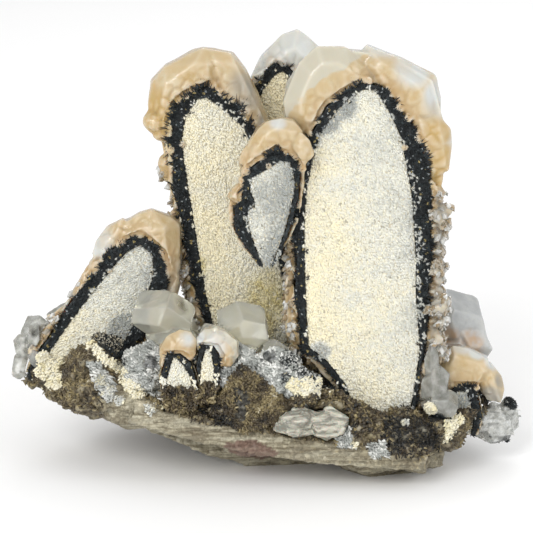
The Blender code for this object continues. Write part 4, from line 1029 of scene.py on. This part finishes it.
# Areas of white quartz, cream and black on the rock, outlined as seen from the front: (across, up) in mm.
frontAreas = {
    "quartz": [[(-38.4, 33.2), (-34.2, 34.7), (-27.4, 33.7), (-27.9, 29.8), (-28.4, 24.3), (-26.3, 19.3),
                (-23.2, 16.4), (-27.9, 15.6), (-33.1, 18.0), (-36.3, 22.7), (-38.9, 27.9)],
               [(-18.5, 18.5), (-14.3, 21.1), (-13.8, 25.8), (-11.7, 31.1), (-6.9, 32.4), (0.4, 32.1), (4.6, 28.5),
                (4.8, 24.3), (6.7, 20.6), (9.3, 16.4), (7.7, 14.6), (0.9, 16.4), (-12.7, 15.4), (-17.9, 15.6)],
               [(17.9, 8.8), (22.4, 8.8), (22.4, 3.3), (18.7, 3.3)],
               [(26.1, 4.4), (30.8, 4.9), (32.4, 0.7), (27.1, 0.2)],
               [(-46.8, 25.3), (-44.1, 25.3), (-40.5, 21.1), (-39.4, 17.4), (-41.0, 14.8), (-43.6, 16.4),
                (-45.2, 20.1)]],
    "cream": [[(-61.5, 26.5), (-55, 28.5), (-54, 25), (-55.5, 22.5), (-58.5, 22.5), (-60.5, 24)],
              [(7.7, 19.5), (10.3, 21.1), (14.5, 17.4), (13, 15.4), (8.8, 15.9)],
              [(-47.3, 30.5), (-46.2, 31.1), (-42.6, 27.1), (-38.9, 24.3), (-36.3, 22.7), (-37.3, 21.1),
               (-40.5, 23.7), (-44.1, 26.4)]],
    "red": [[(-10.1, 4.9), (-1.2, 4.9), (3.5, 0.9), (-1.2, -1.9), (-8.3, 0.2), (-10.6, 2.8)]],
    "black": [[(-46.8, 32.1), (-37.3, 32.9), (-36.8, 28.5), (-38.9, 25.3), (-42.6, 27.9)],
              [(5.6, 27.9), (8.8, 27.9), (11.9, 22.7), (16.6, 19.5), (20.6, 17.4), (19.3, 16.4), (14, 18),
               (8.8, 21.1), (6.2, 23.7)],
              [(-8.0, 19.0), (-5.1, 19.5), (-4.3, 15.4), (-5.4, 10.1), (-8.5, 10.6)]],
}
darkAreas = [[(29.7, 10.1), (44.9, 11.4), (45.5, 0.9), (35, -0.9), (29.7, 4.9)],
             [(-17.5, 14), (-9, 15), (-5, 10), (-9, 6), (-17, 9)],
             [(10, 13.5), (24, 9.5), (24, 4.5), (14, 6.5), (8, 11)]]
# Matrix. fibreTop: the upper edge of the fibrous slab along the bottom front, as (x, z) in mm.
# cream and black: painted spots (x, y, z, radius). grit: share of the bare rock's points with a small crystal.
rockParts = {
    "fibreTop": [(-46, 29), (-36, 25.4), (-27, 21.6), (-17, 18.2), (0, 15.2), (16, 12.6), (35, 9.6), (48, 8.0)],
    "skin": 0.62,
    "cream": [(-59.3, -12.1, 26.5, 4), (-63, -10.3, 24.6, 2.6), (-31.6, -31.2, 25, 3.5)],
    "black": [(36.3, -28.5, 16.6, 4), (40.2, -28.9, 15.4, 4), (42.9, -28.6, 12.5, 4), (34.8, -31.8, 13.7, 3)],
    "grit": 0.55,
}


def inSlab(co):
    x, z = co[:, 0] / mm, co[:, 2] / mm
    top = np.interp(x, *zip(*rockParts["fibreTop"]))
    return smoothStep(-0.5, 0.5, top + 0.5 * softNoise(co, 5.0, 2, 17.0) - z)


def crags(co, size):
    k = 1 / (size * mm)
    ridges = [noise.ridged_multi_fractal((x * k, y * k, z * k), 0.9, 2.0, 4, 1.0, 2.0) for x, y, z in co.tolist()]
    return np.clip(np.array(ridges) - 1.0, -1, 1)


mesh = skinOver("matrix_rock", mergedCopy("matrix_rock"), rockParts["skin"], 1)
co = pointsOf(mesh)
flat = co[:, 2] < 0.8 * mm
fibre = inSlab(co) * (1 - smoothStep(-8, -4, co[:, 1] / mm)) * smoothStep(-44, -40, co[:, 0] / mm)
fibre *= 1 - 0.45 * smoothStep(-20, 45, co[:, 0] / mm)
grit = softNoise(co, 1.5, 3, 2.0)
lines = softNoise(co * np.array((0.10, 1.0, 1.0)), 0.9, 3, 8.0)
height = (1 - fibre) * (0.9 * crags(co, 6.2) + 0.5 * grit) + fibre * (0.45 * lines)
bm = bmesh.new()
for node in nodes:
    if node != "matrix_rock":
        bm.from_mesh(nodes[node].data)
others = BVHTree.FromBMesh(bm)
bm.free()
beside = np.array([(others.find_nearest(spot, 2 * mm)[3] or 2 * mm) / mm for spot in co.tolist()])
height = np.where(beside < 1.4, np.minimum(height, -0.2), height)  # never over the crystals beside it
co = raised(mesh, height)
co[:, 2] = np.where(flat, 0.0, np.maximum(co[:, 2], 0.0))
setPoints(mesh, co)
setMark(mesh, "fibre", fibre)
areas = {label: inAreas(co, corners) for label, corners in frontAreas.items()}
setMark(mesh, "quartz", areas["quartz"])
for label in ("cream", "black", "red"):
    painted = nearSpots(co, rockParts.get(label, ())) * (0.75 + 0.6 * grit)
    setMark(mesh, label, np.clip(np.maximum(painted, areas[label]), 0, 1))
setEdges(mesh, 6, 0.55)
outer["matrix_rock"] = mesh
addSkin("matrix_rock", mesh, rock)
print("matrix,", len(mesh.polygons), "faces")


def addGrit(name, mesh, share, tone, long):
    # small rough crystals over a skin; tone: (level, how cloudy, level change to the right)
    co, normals = pointsOf(mesh), normalsOf(mesh)
    chosen = np.argwhere(rng.random(len(co)) < share)[:, 0]
    at = co[chosen]
    n = len(at)
    level, cloudy, across = tone
    tones = level + cloudy * (softNoise(at, 4.5, 3, 31.0) + 0.7 * softNoise(at, 12.0, 2, 13.0))
    tones += across * at[:, 0] / (60 * mm) + rng.normal(0, 0.09, n) - 0.30 * inAreas(at, darkAreas, 1.5)
    sizes = anySizes(n, long, (0.25, 0.5), (0.2, 0.4))
    at = at + normals[chosen] * (rng.uniform(-0.1, 0.25, n) * mm)[:, None]
    addCopies(name, at, anyTurn(n), sizes, {"tone": np.clip(tones, 0, 1)}, rockGrit)
    print(name, n, "crystals")


bare = (fibre < 0.25) & ~flat & (co[:, 2] > 1.5 * mm)
bare &= np.max([nearSpots(co, patches[label]) for label in ("cream", "white")], axis=0) < 0.35
bare &= (beside > 0.9) & (normalsOf(mesh)[:, 2] > -0.35) & (sum(areas.values()) == 0)
addGrit("matrix_rock_grit", mesh, rockParts["grit"] * bare, (0.36, 0.42, -0.06), (0.6, 1.7))

mesh = skinOver("brown_wedge", mergedCopy("brown_wedge"), 0.38, 1)
co = pointsOf(mesh)
raised(mesh, 0.45 * crags(co, 3.3) + 0.25 * softNoise(co, 0.9, 2, 1.0))
black = inAreas(co, frontAreas["black"])
for label in ("fibre", "cream", "red", "quartz"):
    setMark(mesh, label, np.zeros(len(co)))
setMark(mesh, "black", black)
setEdges(mesh, 6, 0.35)
addSkin("brown_wedge", mesh, rock)
addGrit("brown_wedge_grit", mesh, 0.5 * (1 - 0.9 * black), (0.48, 0.34, 0.0), (0.6, 1.5))

mesh = skinOver("pale_block", mergedCopy("pale_block"), 0.35, 1)
co = pointsOf(mesh)
lines = softNoise(co * np.array((0.2, 1.0, 1.0)), 1.2, 3, 4.0)
blocks = np.round(softNoise(co * np.array((0.8, 1.0, 1.2)), 3.2, 1, 14.0) * 2.5) / 2.5
raised(mesh, 0.25 * lines + 0.8 * blocks)
addSkin("pale_block", mesh, cleavage)
print("wedge and block done")

outer["large_blade"] = skins["large_blade"]
covered = [outer[name] for name in ("matrix_rock", "quartz_druse", "quartz_end_chunk", "clear_crystals_right",
                                    "left_end_crystals", "large_blade")]
allPoints = np.vstack([pointsOf(mesh) for mesh in covered])
allNormals = np.vstack([normalsOf(mesh) for mesh in covered])
rag = softNoise(allPoints, 1.6, 3, 41.0)


def patchPoints(label, share):
    inside = nearSpots(allPoints, patches.get(label, ())) > np.maximum(0.05, 0.12 + 0.3 * rag)
    if label in frontAreas:
        inside |= (inAreas(allPoints, frontAreas[label]) > 0) & (allNormals[:, 1] < 0.3)
    return np.argwhere(inside & (rng.random(len(allPoints)) < share))[:, 0]


def lifted(chosen, lift):
    # the chosen points, that many mm off the surface
    return allPoints[chosen] + allNormals[chosen] * (np.reshape(lift, (-1, 1)) * mm)


chosen = np.concatenate([patchPoints(label, 0.95) for label in ("cream", "white") for _ in range(2)])
n = len(chosen)
cold = nearSpots(allPoints[chosen], patches["white"])
warm = np.where(cold > 0.12, 0.22, 0.85) + rng.normal(0, 0.1, n)
spots = lifted(chosen, rng.uniform(0.05, 0.35, n)) + rng.normal(0, 0.15 * mm, (n, 3))
scatterGrains("rock_sugar_grains", spots, np.array((0.0, -0.95, 0.3)), 40,
              {"warm": warm, "stain": np.where(rng.random(n) < 0.04, 0.6, 0.0),
               "olive": np.clip(softNoise(allPoints[chosen], 3.0, 2, 3.0), 0, 0.4)})

chosen = np.concatenate([patchPoints("black", 0.95), patchPoints("black", 0.7)])
n = len(chosen)
scatterFlakes("rock_crust_plates", lifted(chosen, 0.28), rng.normal(0, 1, (n, 3)), rng.uniform(0.7, 1.5, n),
              np.array((0.0, -1.0, 0.2)))

chosen = np.concatenate([patchPoints("brown", 0.9), patchPoints("brown", 0.9)])
n = len(chosen)
size = rng.uniform(0.6, 1.2, n)
addCopies("arch_ridge_grit", lifted(chosen, rng.uniform(0.1, 0.9, n)), anyTurn(n),
          np.outer(size, (1, 0.7, 0.6)) * mm, {"tone": np.clip(rng.normal(0.30, 0.16, n), 0, 1)}, rockGrit)

chosen = patchPoints("quartz", 0.9)
chosen = chosen[chosen < len(outer["matrix_rock"].vertices)]
n = len(chosen)
turns, sizes = lyingBlocks(n, -30, 30, (0.8, 1.7))
tones = 0.75 + 0.5 * softNoise(allPoints[chosen], 3.0, 3, 12.0) + rng.normal(0, 0.14, n)
addCopies("rock_quartz_grains", lifted(chosen, 0.12), turns, sizes, {"tone": np.clip(tones, 0.1, 1)},
          quartzGrit)

spots, front = [], -bladeAxes["front_left_blade"][:, 1]
for blade in ("front_left_blade", "front_right_blade"):  # the rock closes over the feet of the two small blades
    kind, place = grids[blade]
    at = place[kind > 0]
    foot = sugarParts[blade]["foot"] + 1.2 * softNoise(at, 2.2, 3, 11.0)
    spots.append(np.repeat(at[at[:, 2] / mm < foot], 4, axis=0))
spots = np.vstack(spots)
n = len(spots)
spots = spots + np.outer(rng.uniform(-0.2, 0.8, n) * mm, front) + rng.normal(0, 0.4 * mm, (n, 3))
size = rng.uniform(0.7, 1.6, n)
tones = 0.36 + 0.35 * softNoise(spots, 3.0, 3, 31.0) + rng.normal(0, 0.12, n)
turns = anyTurn(n)
sizes = np.stack([size, rng.uniform(0.3, 0.6, n), rng.uniform(0.25, 0.5, n)], 1) * mm
addCopies("small_blade_feet_grit", spots, turns, sizes, {"tone": np.clip(tones, 0, 1)}, rockGrit)
print("patches on the rock done")

studio = {"floor": (0.95, 0.95, 0.95), "world": 0.79}
# Each lamp's place, aim, size and power.
lamps = {"key": ((-0.40, -0.90, 0.70), (0, 0, 0.05), 0.5, 5.3),
         "fill": ((0.85, -0.55, 0.55), (0, 0, 0.05), 0.7, 3.1),
         "low": ((-0.45, -0.75, 0.16), (-0.02, 0, 0.05), 0.3, 1.2),
         "back": ((0.2, 0.8, 0.8), (0, 0, 0.06), 0.6, 1.8)}

bm = bmesh.new()
bmesh.ops.create_grid(bm, x_segments=1, y_segments=1, size=3.0)
mesh = bpy.data.meshes.new("floor")
bm.to_mesh(mesh)
bm.free()
floor = show(bpy.data.objects.new("floor", mesh))
material, tree, shader = newMaterial("paleFloor")
setInputs(tree, shader, {"Base Color": studio["floor"], "Roughness": 0.8, "Specular IOR Level": 0.1})
mesh.materials.append(material)

for name, (place, aim, size, power) in lamps.items():
    data = bpy.data.lights.new(name, "AREA")
    data.shape = "DISK"
    data.size = size
    data.energy = power
    light = show(bpy.data.objects.new(name, data))
    light.location = place
    light.rotation_euler = (Vector(aim) - Vector(place)).to_track_quat("-Z", "Y").to_euler()
world = bpy.data.worlds.new("studio")
world.use_nodes = True
setInputs(world.node_tree, world.node_tree.nodes["Background"], {"Color": (1, 1, 1), "Strength": studio["world"]})
bpy.context.scene.world = world

lens = bpy.data.cameras.new("camera")
lens.lens = 155.1
lens.sensor_width = 36
lens.clip_start = 0.01
camera = show(bpy.data.objects.new("camera", lens))
camera.location = (0, -0.5989, 0.2125)
camera.rotation_euler = (math.radians(75), 0, 0)
bpy.context.scene.camera = camera
bpy.context.scene.view_settings.view_transform = "Standard"

total = sum(sum(len(p.vertices) - 2 for p in o.data.polygons) for o in bpy.data.objects
            if o.type == "MESH" and not o.hide_render)
print("triangles shown:", total)
